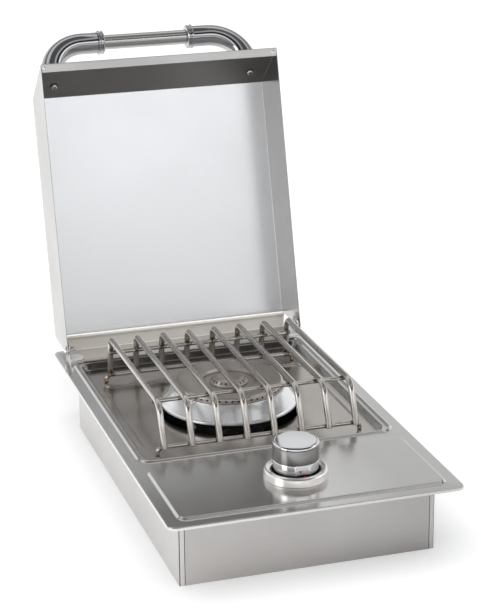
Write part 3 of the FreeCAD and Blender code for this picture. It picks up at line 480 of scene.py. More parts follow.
coatings = {
    "blackPlastic": dict(light=(0.03, 0.03, 0.032), dark=(0.016, 0.016, 0.017), rough=(0.4, 0.55)),
    "redMarker": dict(light=(0.52, 0.035, 0.03), dark=(0.42, 0.025, 0.02), rough=(0.3, 0.42)),
    "ceramic": dict(light=(0.8, 0.77, 0.7), dark=(0.7, 0.67, 0.6), rough=(0.28, 0.42), size=250),
    "leadRubber": dict(light=(0.12, 0.1, 0.09), dark=(0.07, 0.06, 0.055), rough=(0.55, 0.7), size=300),
}
finishes = {name: metal(name, **look) for name, look in metals.items()}
finishes.update({name: coatedSurface(name, **look) for name, look in coatings.items()})

# Painted shade that changes over a piece

paintedShadeFades = {  # axis and stretch in mm over which a finish turns to a darker painted shade
    # painted shade: the rim darker towards the right
    "rimSteel": dict(axis=0, start=10, end=100, colour=(0.54, 0.53, 0.515)),
    # painted shade: the lid's inner sides darker towards the top
    "lidSideShadedSteel": dict(axis=2, start=160, end=400, colour=(0.42, 0.41, 0.40)),
}
boxInside = {"half": (144.5, 232.5), "shade": (0.05, 0.05, 0.05)}  # half the width and length in mm, and the painted shade inside the box


def fadeAlong(steel, axis, start, end, colour):
    tree = steel.node_tree
    along = partsOf(tree, objectVector(tree))[axis]
    tinted(steel, spread(tree, along, 0.0, 1.0, start * mm, end * mm), colour)


def paintedShadeInside(material):  # painted shade: darken what lies within the box's walls, and give the mask
    tree = material.node_tree
    parts = partsOf(tree, objectVector(tree))
    near = [mathOn(tree, "LESS_THAN", mathOn(tree, "ABSOLUTE", parts[i]), boxInside["half"][i] * mm)
            for i in range(2)]
    mask = mathOn(tree, "MULTIPLY", *near)
    tinted(material, mask, boxInside["shade"])
    return mask


for fadedName, fade in paintedShadeFades.items():
    fadeAlong(finishes[fadedName], **fade)
# painted shade on the box's inner walls
paintedShadeInside(finishes["boxSteel"])

# Grate sizes in mm, and the weld marks where bars and rods meet, soot with painted shade in the crease

grate = {"pitch": 32.7, "count": 8, "rod": 3.6, "cross": 2.6, "weldSink": 0.2, "top": 134.5, "overhang": 2.5,
         "front": {"foot": (-70.7, 86.2), "corner": -50, "inward": 1},
         "rear": {"foot": (184.5, 85.5), "corner": 175.5, "inward": -1},
         "frontRodY": -26, "rearRodZ": 118.2, "lowRodZ": 87.2, "footSpan": 242, "footEnd": 78.4,
         "bends": (20, 9), "footBend": 6.5}
# sootAndShade: weld soot with painted shade where bar meets rod
weldMarks = {"sootAndShade": (0.075, 0.055, 0.042), "onBars": (0.2, 2.2), "onRods": (-0.2, 1.9), "grain": 330,
             "straw": (0.62, 0.36, 0.17), "strawFromEnd": (14, 3), "strawGrain": 120}
rodReach = grate["rod"] + grate["cross"] - grate["weldSink"]  # from a bar's middle to a rod's


def besideLeg(leg, z):  # where a rod lies that is welded to the inner side of a leg
    y, low = leg["foot"]
    lean = (leg["corner"] - y) / (grate["top"] - low)
    return y + lean * (z - low) + leg["inward"] * rodReach * math.sqrt(1 + lean * lean)


def rodFinish(name):
    return metal(name, light=(0.64, 0.605, 0.57), dark=(0.58, 0.55, 0.515), rough=(0.20, 0.25),
                 grainSize=120, patch=30, patchAmount=0.8)


def barFinish():  # soot and painted crease shade on the bars, along the four rods
    steel = rodFinish("barSteel")
    tree = steel.node_tree
    reach = [grate["cross"] + r for r in weldMarks["onBars"]]
    low, high = grate["lowRodZ"], grate["rearRodZ"]
    marks = nearLine(tree, grate["frontRodY"], grate["top"] - rodReach, reach)
    for leg, z in (("front", low), ("rear", low), ("rear", high)):
        marks = mathOn(tree, "MAXIMUM", marks, nearLine(tree, besideLeg(grate[leg], z), z, reach))
    broken = mottled(tree, weldMarks["grain"], 0.35)
    tinted(steel, mathOn(tree, "MULTIPLY", marks, broken), weldMarks["sootAndShade"])
    return steel


def addStraw(steel):  # straw tint at a rod's bent feet
    tree = steel.node_tree
    out = mathOn(tree, "ABSOLUTE", partsOf(tree, objectVector(tree))[0])
    start, end = [(grate["footSpan"] / 2 - r) * mm for r in weldMarks["strawFromEnd"]]
    ends = spread(tree, out, 0.0, 0.8, start, end)
    cloudy = mottled(tree, weldMarks["strawGrain"], 0.2, 0.35, 0.65)
    tinted(steel, mathOn(tree, "MULTIPLY", ends, cloudy), weldMarks["straw"])


def addSootAndShade(steel):  # soot and painted crease shade on a rod, round each bar
    tree = steel.node_tree
    marks = nearBars(tree, grate["pitch"], [grate["rod"] + r for r in weldMarks["onRods"]])
    broken = mottled(tree, weldMarks["grain"], 0.25)
    tinted(steel, mathOn(tree, "MULTIPLY", marks, broken), weldMarks["sootAndShade"])


finishes["barSteel"] = barFinish()
for rodName in ("crossRodSteel", "lowRodSteel"):
    finishes[rodName] = rodFinish(rodName)
addStraw(finishes["lowRodSteel"])
addSootAndShade(finishes["lowRodSteel"])
addSootAndShade(finishes["crossRodSteel"])
print("finishes ready:", len(finishes))

nodesOf = {  # the CAD pieces that wear each finish
    "rimSteel": ["top_plate"], "upstandSheenSteel": ["rear_upstand"], "boxSteel": ["box_shell"],
    "boxFrontShadedSteel": ["box_front"], "lidSteel": ["lid_shell"], "gripSteel": ["handle_grip"],
    "handleChrome": ["handle_elbow_left", "handle_elbow_right", "handle_collars", "handle_base_rings"],
    # painted shade: the washers are near black
    "washerShadeSteel": ["handle_washers"], "screwSteel": ["handle_screws"],
    "brightSteel": ["lid_rivets", "hinge_bracket_left", "hinge_bracket_right", "pivot_screws",
                    "pivot_washers", "burner_screws", "bezel_screws", "igniter_electrode", "thrust_washer"],
    "chrome": ["domed_nuts", "knob_skirt", "knob_cap"], "castAluminium": ["burner_base"],
    "capMetal": ["outer_ring_cap", "centre_cap"], "bezelSteel": ["knob_bezel"], "bandSteel": ["knob_band"],
    "plainSteel": ["bottom_pan", "mixing_tubes", "air_shutters", "burner_stand", "valve_bracket",
                   "pipe_clip", "heat_shield", "spark_unit_stand", "knob_grub_screw"],
    "brass": ["gas_jets", "valve_body", "valve_bonnet", "valve_stem"], "redMarker": ["bezel_pointer"],
    # painted shade: the gas pipe and inlet elbow are near black, as they sit in the box's shade
    "blackPlastic": ["bezel_liner", "spark_unit", "knob_hub"], "insideShadeSteel": ["gas_pipe", "inlet_elbow"],
    "ceramic": ["igniter_sleeve"], "leadRubber": ["igniter_lead"], "barSteel": ["grate_bars"],
    "crossRodSteel": ["grate_rod_front_top", "grate_rod_rear_top", "grate_rod_front_low"],
    "lowRodSteel": ["grate_rod_rear_low"],
}
for finishName, nodeNames in nodesOf.items():
    for nodeName in nodeNames:
        materials = nodes[nodeName].data.materials
        materials.clear()
        materials.append(finishes[finishName])
finished = sum(nodesOf.values(), [])
print("finishes put on", len(finished), "nodes; left out:", sorted(set(nodes) - set(finished)))

# Top plate with rim, bead, drip pan and control area. A fold's points go inwards and up or down, in mm

topPlate = {
    "top": 86, "sheet": 1.0,
    "rim": {"box": (-165, -270, 165, 285), "corner": 10, "segments": 8,
            "fold": [(0, 0), (0.02, 2.3), (0.1, 2.7), (0.35, 3.1), (0.75, 3.38), (1.2, 3.5)]},
    "bead": {"box": (-152, -101, 152, 236.5), "corner": 17, "segments": 12,
             "fold": [(0, 0), (0.45, 0.2), (1.0, 0.75), (1.6, 1.4), (2.3, 1.85), (3.0, 2.0), (3.7, 1.85),
                      (4.4, 1.4), (5.0, 0.75), (5.55, 0.2), (6.0, 0)]},
    "pan": {"box": (-143.4, -94.7, 143.4, 230.7), "corner": 15.4, "segments": 12,
            "fold": [(0, 0), (0.5, -0.12), (0.95, -0.45), (1.35, -0.95), (4.9, -6.9), (5.3, -7.45),
                     (5.8, -7.85), (6.4, -8.0)]},
    "step": {"box": (-131.2, -41.2, 131.2, 166.2), "corner": 11.2, "segments": 10,
             "fold": [(0, 0), (0.4, -0.1), (0.8, -0.4), (2.3, -1.65), (2.7, -1.93), (3.1, -2.0)]},
    "control": {"box": (-150.8, -255.8, 150.8, -121.2), "corner": 10, "segments": 10,
                "fold": [(0, 0), (0.5, 0.12), (1.0, 0.5), (1.6, 1.15), (2.3, 1.85), (2.8, 2.25),
                         (3.3, 2.44), (3.8, 2.5)]},
    "burnerHole": {"centre": burnerAt, "radius": 85, "segments": 96,
                   "fold": [(1.2, 0), (0.7, -0.08), (0.3, -0.35), (0.05, -0.8), (0, -1.2), (0, -4.5)]},
    "stemHole": {"centre": stemAt, "radius": 9, "segments": 32, "fold": [(0.4, 0), (0.1, -0.1), (0, -0.5)]},
    "beadInset": 5, "panFaces": 6, "wallReach": 10, "sootAndShadeReach": 1.5,  # bounds for the finishes
}


def endHeight(shape):
    return shape["fold"][-1][1]


def press(shape, z):  # a rounded outline drawn in along its fold and left open in the middle
    x0, y0, x1, y1 = shape["box"]
    middle = vec((x0 + x1) / 2, (y0 + y1) / 2, z)
    bpy.ops.mesh.select_all(action="DESELECT")
    bpy.ops.mesh.primitive_plane_add(size=1, location=middle)
    bpy.ops.transform.resize(value=((x1 - x0) * mm, (y1 - y0) * mm, 1), center_override=middle)
    bpy.ops.mesh.bevel(offset=shape["corner"] * mm, offset_type="OFFSET", segments=shape["segments"],
                       affect="VERTICES", profile=0.5)
    for (inward, height), (nextInward, nextHeight) in zip(shape["fold"], shape["fold"][1:]):
        bpy.ops.mesh.inset(thickness=(nextInward - inward) * mm, depth=(nextHeight - height) * mm)
    bpy.ops.mesh.delete(type="ONLY_FACE")


def addHole(hole, z):  # an open ring drawn down through the sheet
    (x, y), radius, fold = hole["centre"], hole["radius"], hole["fold"]
    bpy.ops.mesh.select_all(action="DESELECT")
    bpy.ops.mesh.primitive_circle_add(vertices=hole["segments"], radius=(radius + fold[0][0]) * mm,
                                      location=vec(x, y, z))
    for (out, height), (nextOut, nextHeight) in zip(fold, fold[1:]):
        pushEdges(vec(0, 0, nextHeight - height))
        scale = (radius + nextOut) / (radius + out)
        bpy.ops.transform.resize(value=(scale, scale, 1), center_override=vec(x, y, z + nextHeight))


def fillBetween(piece, z, within=1000):  # a flat sheet between the open loops at one height
    pick(piece, edges=lambda e: len(e.link_faces) < 2 and all(
        abs(v.co.z - z * mm) < closeBy and abs(v.co.x) < within * mm for v in e.verts))
    bpy.ops.mesh.fill(use_beauty=True)


def faceUp(piece):
    editAll(piece)
    if sum(f.normal.z * f.area for f in piece.data.polygons) < 0:
        bpy.ops.mesh.flip_normals()
    bpy.ops.object.mode_set(mode="OBJECT")


def makeTopPlate():
    plate, top = topPlate, topPlate["top"]
    panFloor, controlTop = top + endHeight(plate["pan"]), top + endHeight(plate["control"])
    stepFloor = panFloor + endHeight(plate["step"])
    piece = emptyPiece("topPlate")
    press(plate["rim"], top - endHeight(plate["rim"]))
    press(plate["bead"], top)
    press(plate["pan"], top)
    fillBetween(piece, top, plate["bead"]["box"][2] - plate["beadInset"])  # from the bead to the pan
    press(plate["control"], top)
    fillBetween(piece, top)
    press(plate["step"], panFloor)
    fillBetween(piece, panFloor)
    addHole(plate["burnerHole"], stepFloor)
    fillBetween(piece, stepFloor)
    addHole(plate["stemHole"], controlTop)
    fillBetween(piece, controlTop)
    cleanUp(piece)
    faceUp(piece)
    applyModifier(piece, "SOLIDIFY", thickness=plate["sheet"] * mm, offset=-1)
    smooth(piece, 40)
    evenNormals(piece)
    finishPiece(piece, "rimSteel", "base", "top_plate")
    hub, holeReach = vec(*burnerAt, 0).xy, (plate["burnerHole"]["radius"] + plate["sootAndShadeReach"]) * mm
    panLevel, rearLine = (top - plate["panFaces"]) * mm, (plate["pan"]["box"][3] - plate["wallReach"]) * mm
    # painted shade on the sunk pan floor
    giveFaces(piece, "panShadedSteel", lambda n, c: n.z > 0.9 and c.z < panLevel)
    giveFaces(piece, "drawnSteel", lambda n, c: abs(n.z) < 0.975)
    # painted shade on the pan's rear wall
    giveFaces(piece, "rearWallShadedSteel", lambda n, c: n.y < -0.6 and c.y > rearLine)
    # soot and painted shade round the burner hole, under the dish
    giveFaces(piece, "sootAndShadeMetal", lambda n, c: n.z < 0.8 and (c.xy - hub).length < holeReach)


makeTopPlate()

# Strip along the rear edge with its rolled top

rearStrip = {"halfWidth": 146, "front": 282.9, "back": 284, "foot": 86, "weld": 1.1, "rollY": 282.4,
             "rollZ": 103.5, "rollOut": 0.3, "rollTurn": 250, "rollDrop": 2.2}


def makeRearStrip():
    strip = rearStrip
    foot, rollZ, weld = strip["foot"], strip["rollZ"], strip["weld"]
    rollRadius = strip["back"] + strip["rollOut"] - strip["rollY"]
    ring = [(strip["back"], foot), (strip["back"], rollZ)]
    ring += arc(strip["rollY"], rollZ, rollRadius, 0, strip["rollTurn"], 14)[1:]
    ring += [(strip["front"], rollZ - strip["rollDrop"])]
    ring += arc(strip["front"] - weld, foot + weld, weld, 0, -90, 5)  # weld along the foot
    piece = emptyPiece("rearStrip")
    drawLine([(-strip["halfWidth"], y, z) for y, z in ring])
    bpy.ops.mesh.select_all(action="SELECT")
    bpy.ops.mesh.edge_face_add()
    bpy.ops.mesh.select_all(action="SELECT")
    bpy.ops.mesh.extrude_region_move(TRANSFORM_OT_translate={"value": vec(2 * strip["halfWidth"], 0, 0)})
    cleanUp(piece)
    smooth(piece, 30)
    finishPiece(piece, "upstandSheenSteel", "base", "rear_upstand")


makeRearStrip()

# Cover, modelled shut and swung back about the hinge line

cover = {"width": 309.6, "sheet": 0.8, "low": 88.45, "high": 161.95, "rearHigh": 237.35, "rearLow": 259.75,
         "frontHigh": -69.35, "frontLow": -108.65, "fold": 1.3, "flange": 11, "hem": 8, "hemLean": 0.2,
         "setIn": 3.0, "rearCorner": 7, "pivot": (0, 251, 98.8), "swing": 105.2, "topFaces": 150}
pivotAt = vec(*cover["pivot"])
swing = Matrix.Rotation(-math.radians(cover["swing"]), 4, "X")
shutToOpen = Matrix.Translation(pivotAt) @ swing @ Matrix.Translation(-pivotAt)


def coverBox():  # top, sides and a sloping front, open below and behind, in edit mode
    piece = emptyPiece("coverShell")
    middle = vec(0, (cover["rearHigh"] + cover["frontHigh"]) / 2, (cover["high"] + cover["low"]) / 2)
    bpy.ops.mesh.primitive_cube_add(size=1, location=middle)
    size = vec(cover["width"], cover["rearHigh"] - cover["frontHigh"], cover["high"] - cover["low"])
    bpy.ops.transform.resize(value=size, center_override=middle)
    low = (cover["low"] + 1) * mm
    pick(piece, verts=lambda v: v.co.z < low and v.co.y < 0)
    bpy.ops.transform.translate(value=vec(0, cover["frontLow"] - cover["frontHigh"], 0))
    pick(piece, verts=lambda v: v.co.z < low and v.co.y > 0)
    bpy.ops.transform.translate(value=vec(0, cover["rearLow"] - cover["rearHigh"], 0))
    pick(piece, faces=lambda f: f.normal.z < -0.9 or f.normal.y > 0.9)
    bpy.ops.mesh.delete(type="FACE")
    pick(piece, verts=lambda v: v.co.z < low and v.co.y > 0)
    bpy.ops.mesh.bevel(offset=cover["rearCorner"] * mm, offset_type="OFFSET", segments=6,
                       affect="VERTICES", profile=0.5)
    return piece


def addFlange(y, z):  # draw the picked edge out and a little in from both sides
    pushEdges(vec(0, y, z))
    bpy.ops.transform.resize(value=(1 - cover["setIn"] / cover["width"], 1, 1), center_override=(0, 0, 0))


def makeCover():
    piece = coverBox()
    low, front, rear = (cover["low"] + 1) * mm, (cover["frontLow"] + 0.5) * mm, (cover["rearHigh"] - 0.5) * mm
    pick(piece, edges=lambda e: all(v.co.y < front and v.co.z < low for v in e.verts))
    addFlange(cover["flange"], 0)
    pick(piece, edges=lambda e: all(v.co.y > rear and v.co.z > low + 20 * mm for v in e.verts)
         and abs(e.verts[0].co.x - e.verts[1].co.x) > 100 * mm)
    addFlange(-cover["hemLean"], -cover["hem"])
    pick(piece, edges=lambda e: len(e.link_faces) == 2 and e.calc_face_angle(0) > 0.3)
    bpy.ops.mesh.bevel(offset=cover["fold"] * mm, offset_type="OFFSET", segments=4, affect="EDGES",
                       profile=0.5)
    cleanUp(piece, 5 * closeBy)
    faceUp(piece)
    applyModifier(piece, "SOLIDIFY", thickness=cover["sheet"] * mm, offset=-1)
    placed(piece, shutToOpen)
    smooth(piece, 40)
    evenNormals(piece)
    finishPiece(piece, "coverSteel", "lid", "lid_shell")
    high = cover["topFaces"] * mm
    giveFaces(piece, "lidSteel", lambda n, c: n.z < -0.9 and c.z > high, shutToOpen)
    # painted shade on the lid's inner side walls
    giveFaces(piece, "lidSideShadedSteel", lambda n, c: n.x * c.x < -0.05, shutToOpen)
    # painted shade on the lid's inner front wall
    giveFaces(piece, "lidFrontShadedSteel", lambda n, c: n.y > 0.6 and c.y < 0, shutToOpen)


makeCover()

# Handle: two bent elbows, flared collars, grip and base rings. The last three are profiles of radius and
# place along the axis, and a third number is a fillet

handle = {
    "span": 130.7, "stand": 59, "bend": 46, "elbow": 13.6, "elbowEnd": 63, "down": 29,
    "grip": [(8.2, -62), (9.4, -62), (9.4, 62), (8.2, 62)],
    "collar": [(9.5, -0.6), (13.9, -0.6), (15.6, -0.3, 0.5), (15.9, 1.0, 0.8), (15.4, 2.2, 0.5),
               (14.1, 2.9, 0.5), (13.9, 3.8, 0.6), (14.4, 4.5, 0.5), (15.3, 5.0, 0.5), (15.4, 6.2, 0.6),
               (14.4, 7.3, 0.8), (11.0, 8.0, 0.8), (9.5, 8.0)],
    "foot": [(13.65, 0), (16.6, 0), (16.6, 1.7, 0.7), (15.0, 3.2, 0.8), (13.65, 3.2)],
}
wallLean = math.atan2(cover["frontHigh"] - cover["frontLow"], cover["high"] - cover["low"])
onWall = Matrix.Translation(vec(0, cover["frontHigh"] - handle["down"] * math.sin(wallLean),
                                cover["high"] - handle["down"] * math.cos(wallLean)))
onWall = onWall @ Matrix.Rotation(math.radians(180) - wallLean, 4, "X")
handlePlace = shutToOpen @ onWall


def handleRing(name, along, up, towards, fillets=3):
    ring = turned(name, rounded(handle[name], fillets), (along, up, 0), towards, 64)
    return placed(ring, handlePlace)


def makeHandle():
    span, stand = handle["span"], handle["stand"]
    for side, name, node in ((-1, "elbowLeft", "handle_elbow_left"), (1, "elbowRight", "handle_elbow_right")):
        points = [(side * span, 0, 0), (side * span, stand, 0), (side * handle["elbowEnd"], stand, 0)]
        piece = bentRod(name, points, [handle["bend"]], handle["elbow"], handlePlace, 48, 0.4)
        finishPiece(piece, "handleChrome", "lid", node)
    rings = [handleRing("collar", side * handle["elbowEnd"], stand, (-side, 0, 0)) for side in (-1, 1)]
    finishPiece(joined("collars", rings), "handleChrome", "lid", "handle_collars")
    grip = handleRing("grip", 0, stand, (1, 0, 0))
    finishPiece(grip, "gripSteel", "lid", "handle_grip")
    feet = [handleRing("foot", side * span, 0, (0, 1, 0)) for side in (-1, 1)]
    finishPiece(joined("elbowFeet", feet), "handleChrome", "lid", "handle_base_rings")


makeHandle()

# Hinge hardware: domed nuts and softened bracket plates

hinge = {
    "ear": 151.1, "softEdge": 0.35, "footTop": 89.5,
    "dome": [(3.2, 3.2), (3.95, 3.4), (4.0, 4.4), (3.8, 5.6), (3.3, 6.7), (2.5, 7.6), (1.5, 8.2), (0, 8.5)],
    "flats": [(0, 0), (4.15, 0), (4.6, 0.5), (4.6, 3.5), (4.1, 4.0), (0, 4.0)],
}


def softened(name, node, width):  # a copy of a CAD piece with its edges broken
    useOnly(nodes[node])
    bpy.ops.object.duplicate(linked=False)
    piece = bpy.context.object
    piece.name = name
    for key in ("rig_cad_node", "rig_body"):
        if key in piece:
            del piece[key]
    piece.parent = None
    cleanUp(piece, 0.005 * mm)
    editAll(piece)
    bpy.ops.mesh.dissolve_limited(angle_limit=math.radians(1))
    bpy.ops.object.mode_set(mode="OBJECT")
    applyModifier(piece, "BEVEL", width=width * mm, segments=2, limit_method="ANGLE",
                  angle_limit=math.radians(40), use_clamp_overlap=True)
    smooth(piece, 40)
    evenNormals(piece)
    return piece


def makeHinges():
    y, z = cover["pivot"][1:]
    nuts = []
    for side in (-1, 1):
        at, way = (side * hinge["ear"], y, z), (-side, 0, 0)
        nuts.append(turned("dome", hinge["dome"], at, way, 32, closed=False))
        nuts.append(turned("flats", hinge["flats"], at, way, 6, closed=False))
    finishPiece(joined("domedNuts", nuts), "chrome", "base", "domed_nuts")
    for name, node in (("bracketLeft", "hinge_bracket_left"), ("bracketRight", "hinge_bracket_right")):
        bracket = softened(name, node, hinge["softEdge"])
        finishPiece(bracket, "brightSteel", "base", node)
        # painted highlight on the feet of the brackets
        giveFaces(bracket, "footPlateHighlight", lambda n, c: n.z > 0.8 and c.z < hinge["footTop"] * mm)


makeHinges()

# Burner: dish, ring cap and centre cap, as profiles of radius and height

wellTop, seat = 106.8, 104.2  # heights of the channel's walls and of the ledges under the caps
burner = {
    "burnerDish": [(0, 48), (51, 48), (56, 52, 2), (56, 71, 2), (62, 75, 2), (76, 81, 3), (80.5, 84.5, 0.6),
                   (82, 84.6, 0.4), (82, 87.2, 0.6), (81, 88.6, 0.8), (67.6, 103.2, 0.8), (66.4, seat, 0.4),
                   (61.1, seat), (61.1, wellTop), (58, wellTop), (58, 73), (39, 73), (39, wellTop),
                   (36.3, wellTop), (36.3, seat), (32.6, seat), (32.6, 107.6), (31.8, 108.2, 0.5),
                   (19.8, 108.2), (19.8, 110.4), (17, 110.4), (17, 73), (0, 73)],
    "ringCap": [(33, 104.5), (36, 104.5), (36, 108.9), (61.4, 108.9), (61.4, 104.5), (65, 104.5, 0.3),
                (65, 109.9, 2), (62.3, 112, 1.5), (36.3, 112, 2), (33, 109.8)],
    "centreCap": [(0, 115.3), (14.4, 115.1, 8), (23.0, 110, 1.0), (23.3, 108.5), (20.1, 108.5),
                  (20.1, 110.6), (17, 111.9), (9, 113.3), (0, 113.5)],
    "ringPorts": {"count": 54, "radius": 1.25, "z": 107.6, "inner": 59, "outer": 70},
    "capPorts": {"count": 20, "radius": 1.0, "z": 112, "inner": 13, "outer": 27},
    "tubeReach": 36.3, "underDish": 84.5, "channel": (36.5, 61.0, 106.6), "inRing": (35.9, 64.9, 109.1),
    "inDome": (13, 113.2),  # radii and heights that bound the parts given soot and painted shade
}


def cutPorts(piece, count, radius, z, inner, outer):
    cutters = []
    for i in range(count):
        turn = math.tau * (i + 0.5) / count
        reach = (inner + outer) / 2
        x, y = burnerAt[0] + reach * math.cos(turn), burnerAt[1] + reach * math.sin(turn)
        deselectAll()
        bpy.ops.mesh.primitive_cylinder_add(vertices=12, radius=radius * mm, depth=(outer - inner) * mm,
                                            location=vec(x, y, z), rotation=(0, math.pi / 2, turn))
        cutters.append(bpy.context.object)
    cutter = joined("portCutter", cutters)
    settle(cutter)
    applyModifier(piece, "BOOLEAN", operation="DIFFERENCE", solver="EXACT", object=cutter)
    deselectAll()
    bpy.data.objects.remove(cutter)
    smooth(piece, 40)


def fromHub(place):  # distance from the burner's axis in mm
    return (place.xy - vec(*burnerAt, 0).xy).length / mm


def inside(place, inner, outer, top):  # between two radii and below a height, in mm
    return inner < fromHub(place) < outer and place.z < top * mm


def underDome(normal, place):  # the dome's inner faces and the walls of its ports, which get soot and painted shade
    reach, top = burner["inDome"]
    outward = (place.xy - vec(*burnerAt, 0).xy).normalized()
    facesIn = normal.xy.normalized().dot(outward) < 0.3
    return normal.z < -0.2 or (facesIn and place.z < top * mm and fromHub(place) > reach)


def burnerPart(name, fillets, steps, closed=False):
    return turned(name, rounded(burner[name], fillets), (*burnerAt, 0), steps=steps, closed=closed)


def makeBurner():
    dish = burnerPart("burnerDish", 3, 128)
    finishPiece(dish, "castAluminium", "base", "burner_base")
    giveFaces(dish, "capMetal", lambda n, c: fromHub(c) < burner["tubeReach"])
    # soot and painted shade under the dish and in its channel
    giveFaces(dish, "sootAndShadeMetal", lambda n, c: c.z < burner["underDish"] * mm or inside(c, *burner["channel"]))
    ring = burnerPart("ringCap", 5, 150, closed=True)
    cutPorts(ring, **burner["ringPorts"])
    finishPiece(ring, "capMetal", "ring_cap", "outer_ring_cap")
    giveFaces(ring, "sootAndShadeMetal", lambda n, c: inside(c, *burner["inRing"]))
    dome = burnerPart("centreCap", 5, 96)
    cutPorts(dome, **burner["capPorts"])
    finishPiece(dome, "capMetal", "inner_cap", "centre_cap")
    giveFaces(dome, "sootAndShadeMetal", underDome)


makeBurner()

# Knob and the bezel round it, as profiles of radius and height

knob = {
    "facet": 23.6, "markAhead": 31,
    "bezel": [(12, 88.5), (35.2, 88.5, 0.3), (35.7, 89.8, 0.5), (34.9, 97.0, 1.0), (33.8, 98.8, 1.0),
              (32.4, 99.5, 0.8), (28.8, 98.5, 0.6), (27.7, 97.3, 0.5), (27.7, 90), (12, 90)],
    "knobSkirt": [(22.5, 94.6), (24.2, 94.6, 0.3), (24.7, 95.5, 0.6), (25.5, 109.0, 0.6),
                  (25.1, 109.9, 0.2), (22.5, 109.9)],
    "knobBand": [(22.5, 110.05), (25.2, 110.05, 0.2), (25.5, 110.5, 0.2), (25.5, 126.4, 0.3),
                 (25.2, 126.85, 0.2), (22.5, 126.85)],
    "knobTop": [(0, 127), (25.0, 127, 0.2), (25.4, 127.5, 0.3), (25.4, 129.0, 0.6), (24.4, 130.5, 0.9),
                (23.3, 131.0, 0.6), (22.5, 130.7, 0.4), (0, 130.7)],
    "redMark": [(0, 96), (1.48, 96), (1.48, 99.4, 0.4), (0.9, 100.1, 0.3), (0, 100.2)],
}


def knobPart(name, fillets, closed=True, ahead=0, steps=128):
    x, y = stemAt
    return turned(name, rounded(knob[name], fillets), (x, y - ahead, 0), steps=steps, closed=closed)


def cutFacet(piece):  # the flat on the front of the skirt
    editAll(piece)
    bpy.ops.mesh.bisect(plane_co=vec(stemAt[0], stemAt[1] - knob["facet"], 0), plane_no=(0, -1, 0),
                        use_fill=True, clear_outer=True)
    bpy.ops.object.mode_set(mode="OBJECT")
    smooth(piece, 30)


def makeKnob():
    bezel = knobPart("bezel", 4)
    finishPiece(bezel, "bezelSteel", "base", "knob_bezel")
    skirt = knobPart("knobSkirt", 3)
    cutFacet(skirt)
    finishPiece(skirt, "chrome", "knob", "knob_skirt")
    band = knobPart("knobBand", 2)
    finishPiece(band, "bandSteel", "knob", "knob_band")
    top = knobPart("knobTop", 4, closed=False)
    finishPiece(top, "chrome", "knob", "knob_cap")
    mark = knobPart("redMark", 3, closed=False, ahead=knob["markAhead"], steps=24)
    finishPiece(mark, "redMarker", "base", "bezel_pointer")


makeKnob()

# Grate: bent bars on four cross rods

def makeBars():
    front, rear, top = grate["front"], grate["rear"], grate["top"]
    path = [(0, *front["foot"]), (0, front["corner"], top), (0, rear["corner"], top), (0, *rear["foot"])]
    bar = bentRod("grateBar", path, grate["bends"], grate["rod"])
    bars = []
    for i in range(grate["count"]):
        x = (i - (grate["count"] - 1) / 2) * grate["pitch"]
        bars.append(twin(bar, "bar%d" % (i + 1), Matrix.Translation(vec(x, 0, 0))))
    deselectAll()
    bpy.data.objects.remove(bar)
    finishPiece(joined("grateBars", bars), "barSteel", "grate", "grate_bars")


def makeTopRods():
    half = (grate["count"] - 1) / 2 * grate["pitch"] + grate["overhang"]
    frontY, frontZ = grate["frontRodY"], grate["top"] - rodReach
    rearY, rearZ = besideLeg(grate["rear"], grate["rearRodZ"]), grate["rearRodZ"]
    for name, node, y, z in (("frontTopRod", "grate_rod_front_top", frontY, frontZ),
                             ("rearTopRod", "grate_rod_rear_top", rearY, rearZ)):
        rod = bentRod(name, [(-half, y, z), (half, y, z)], [], grate["cross"])
        finishPiece(rod, "crossRodSteel", "grate", node)


def makeLowRods():  # their ends are bent down to stand in the pan
    foot, z, end = grate["footSpan"] / 2, grate["lowRodZ"], grate["footEnd"]
    for name, node, steel, leg in (("frontLowRod", "grate_rod_front_low", "crossRodSteel", "front"),
                                   ("rearLowRod", "grate_rod_rear_low", "lowRodSteel", "rear")):
        y = besideLeg(grate[leg], z)
        ends = [(-foot, y, end), (-foot, y, z), (foot, y, z), (foot, y, end)]
        rod = bentRod(name, ends, [grate["footBend"]] * 2, grate["cross"], endRound=0.6)
        finishPiece(rod, steel, "grate", node)


makeBars()
makeTopRods()
makeLowRods()

# Floor, light and camera

studio = {"floorSize": 40.0, "floorColour": (0.92, 0.92, 0.92), "floorGlow": 0.24, "mirrorGlow": (0.38, 0.0),
          "mirrorStretch": (-0.15, 0.20), "skyStrength": 1.0, "skyBlend": 0.12, "frontLevel": (0.72, 1.0),
          "frontStretch": (-0.4, 0.3)}
skyFront = [(0.0, 0.92), (0.15, 0.52), (0.20, 0.60), (0.24, 0.95), (0.28, 1.15), (0.32, 1.8), (0.41, 1.8),
            (0.45, 0.5), (0.52, 0.06), (0.70, 0.04), (0.755, 0.66), (0.86, 0.68), (0.895, 0.15),
            (1.0, 0.15)]  # pairs of height and brightness
skyBack = [(0.0, 1.0), (0.15, 0.95), (0.38, 0.9), (0.50, 0.6), (0.60, 0.2), (0.70, 0.2), (0.77, 0.95),
           (0.93, 0.95), (0.97, 0.2), (1.0, 0.15)]


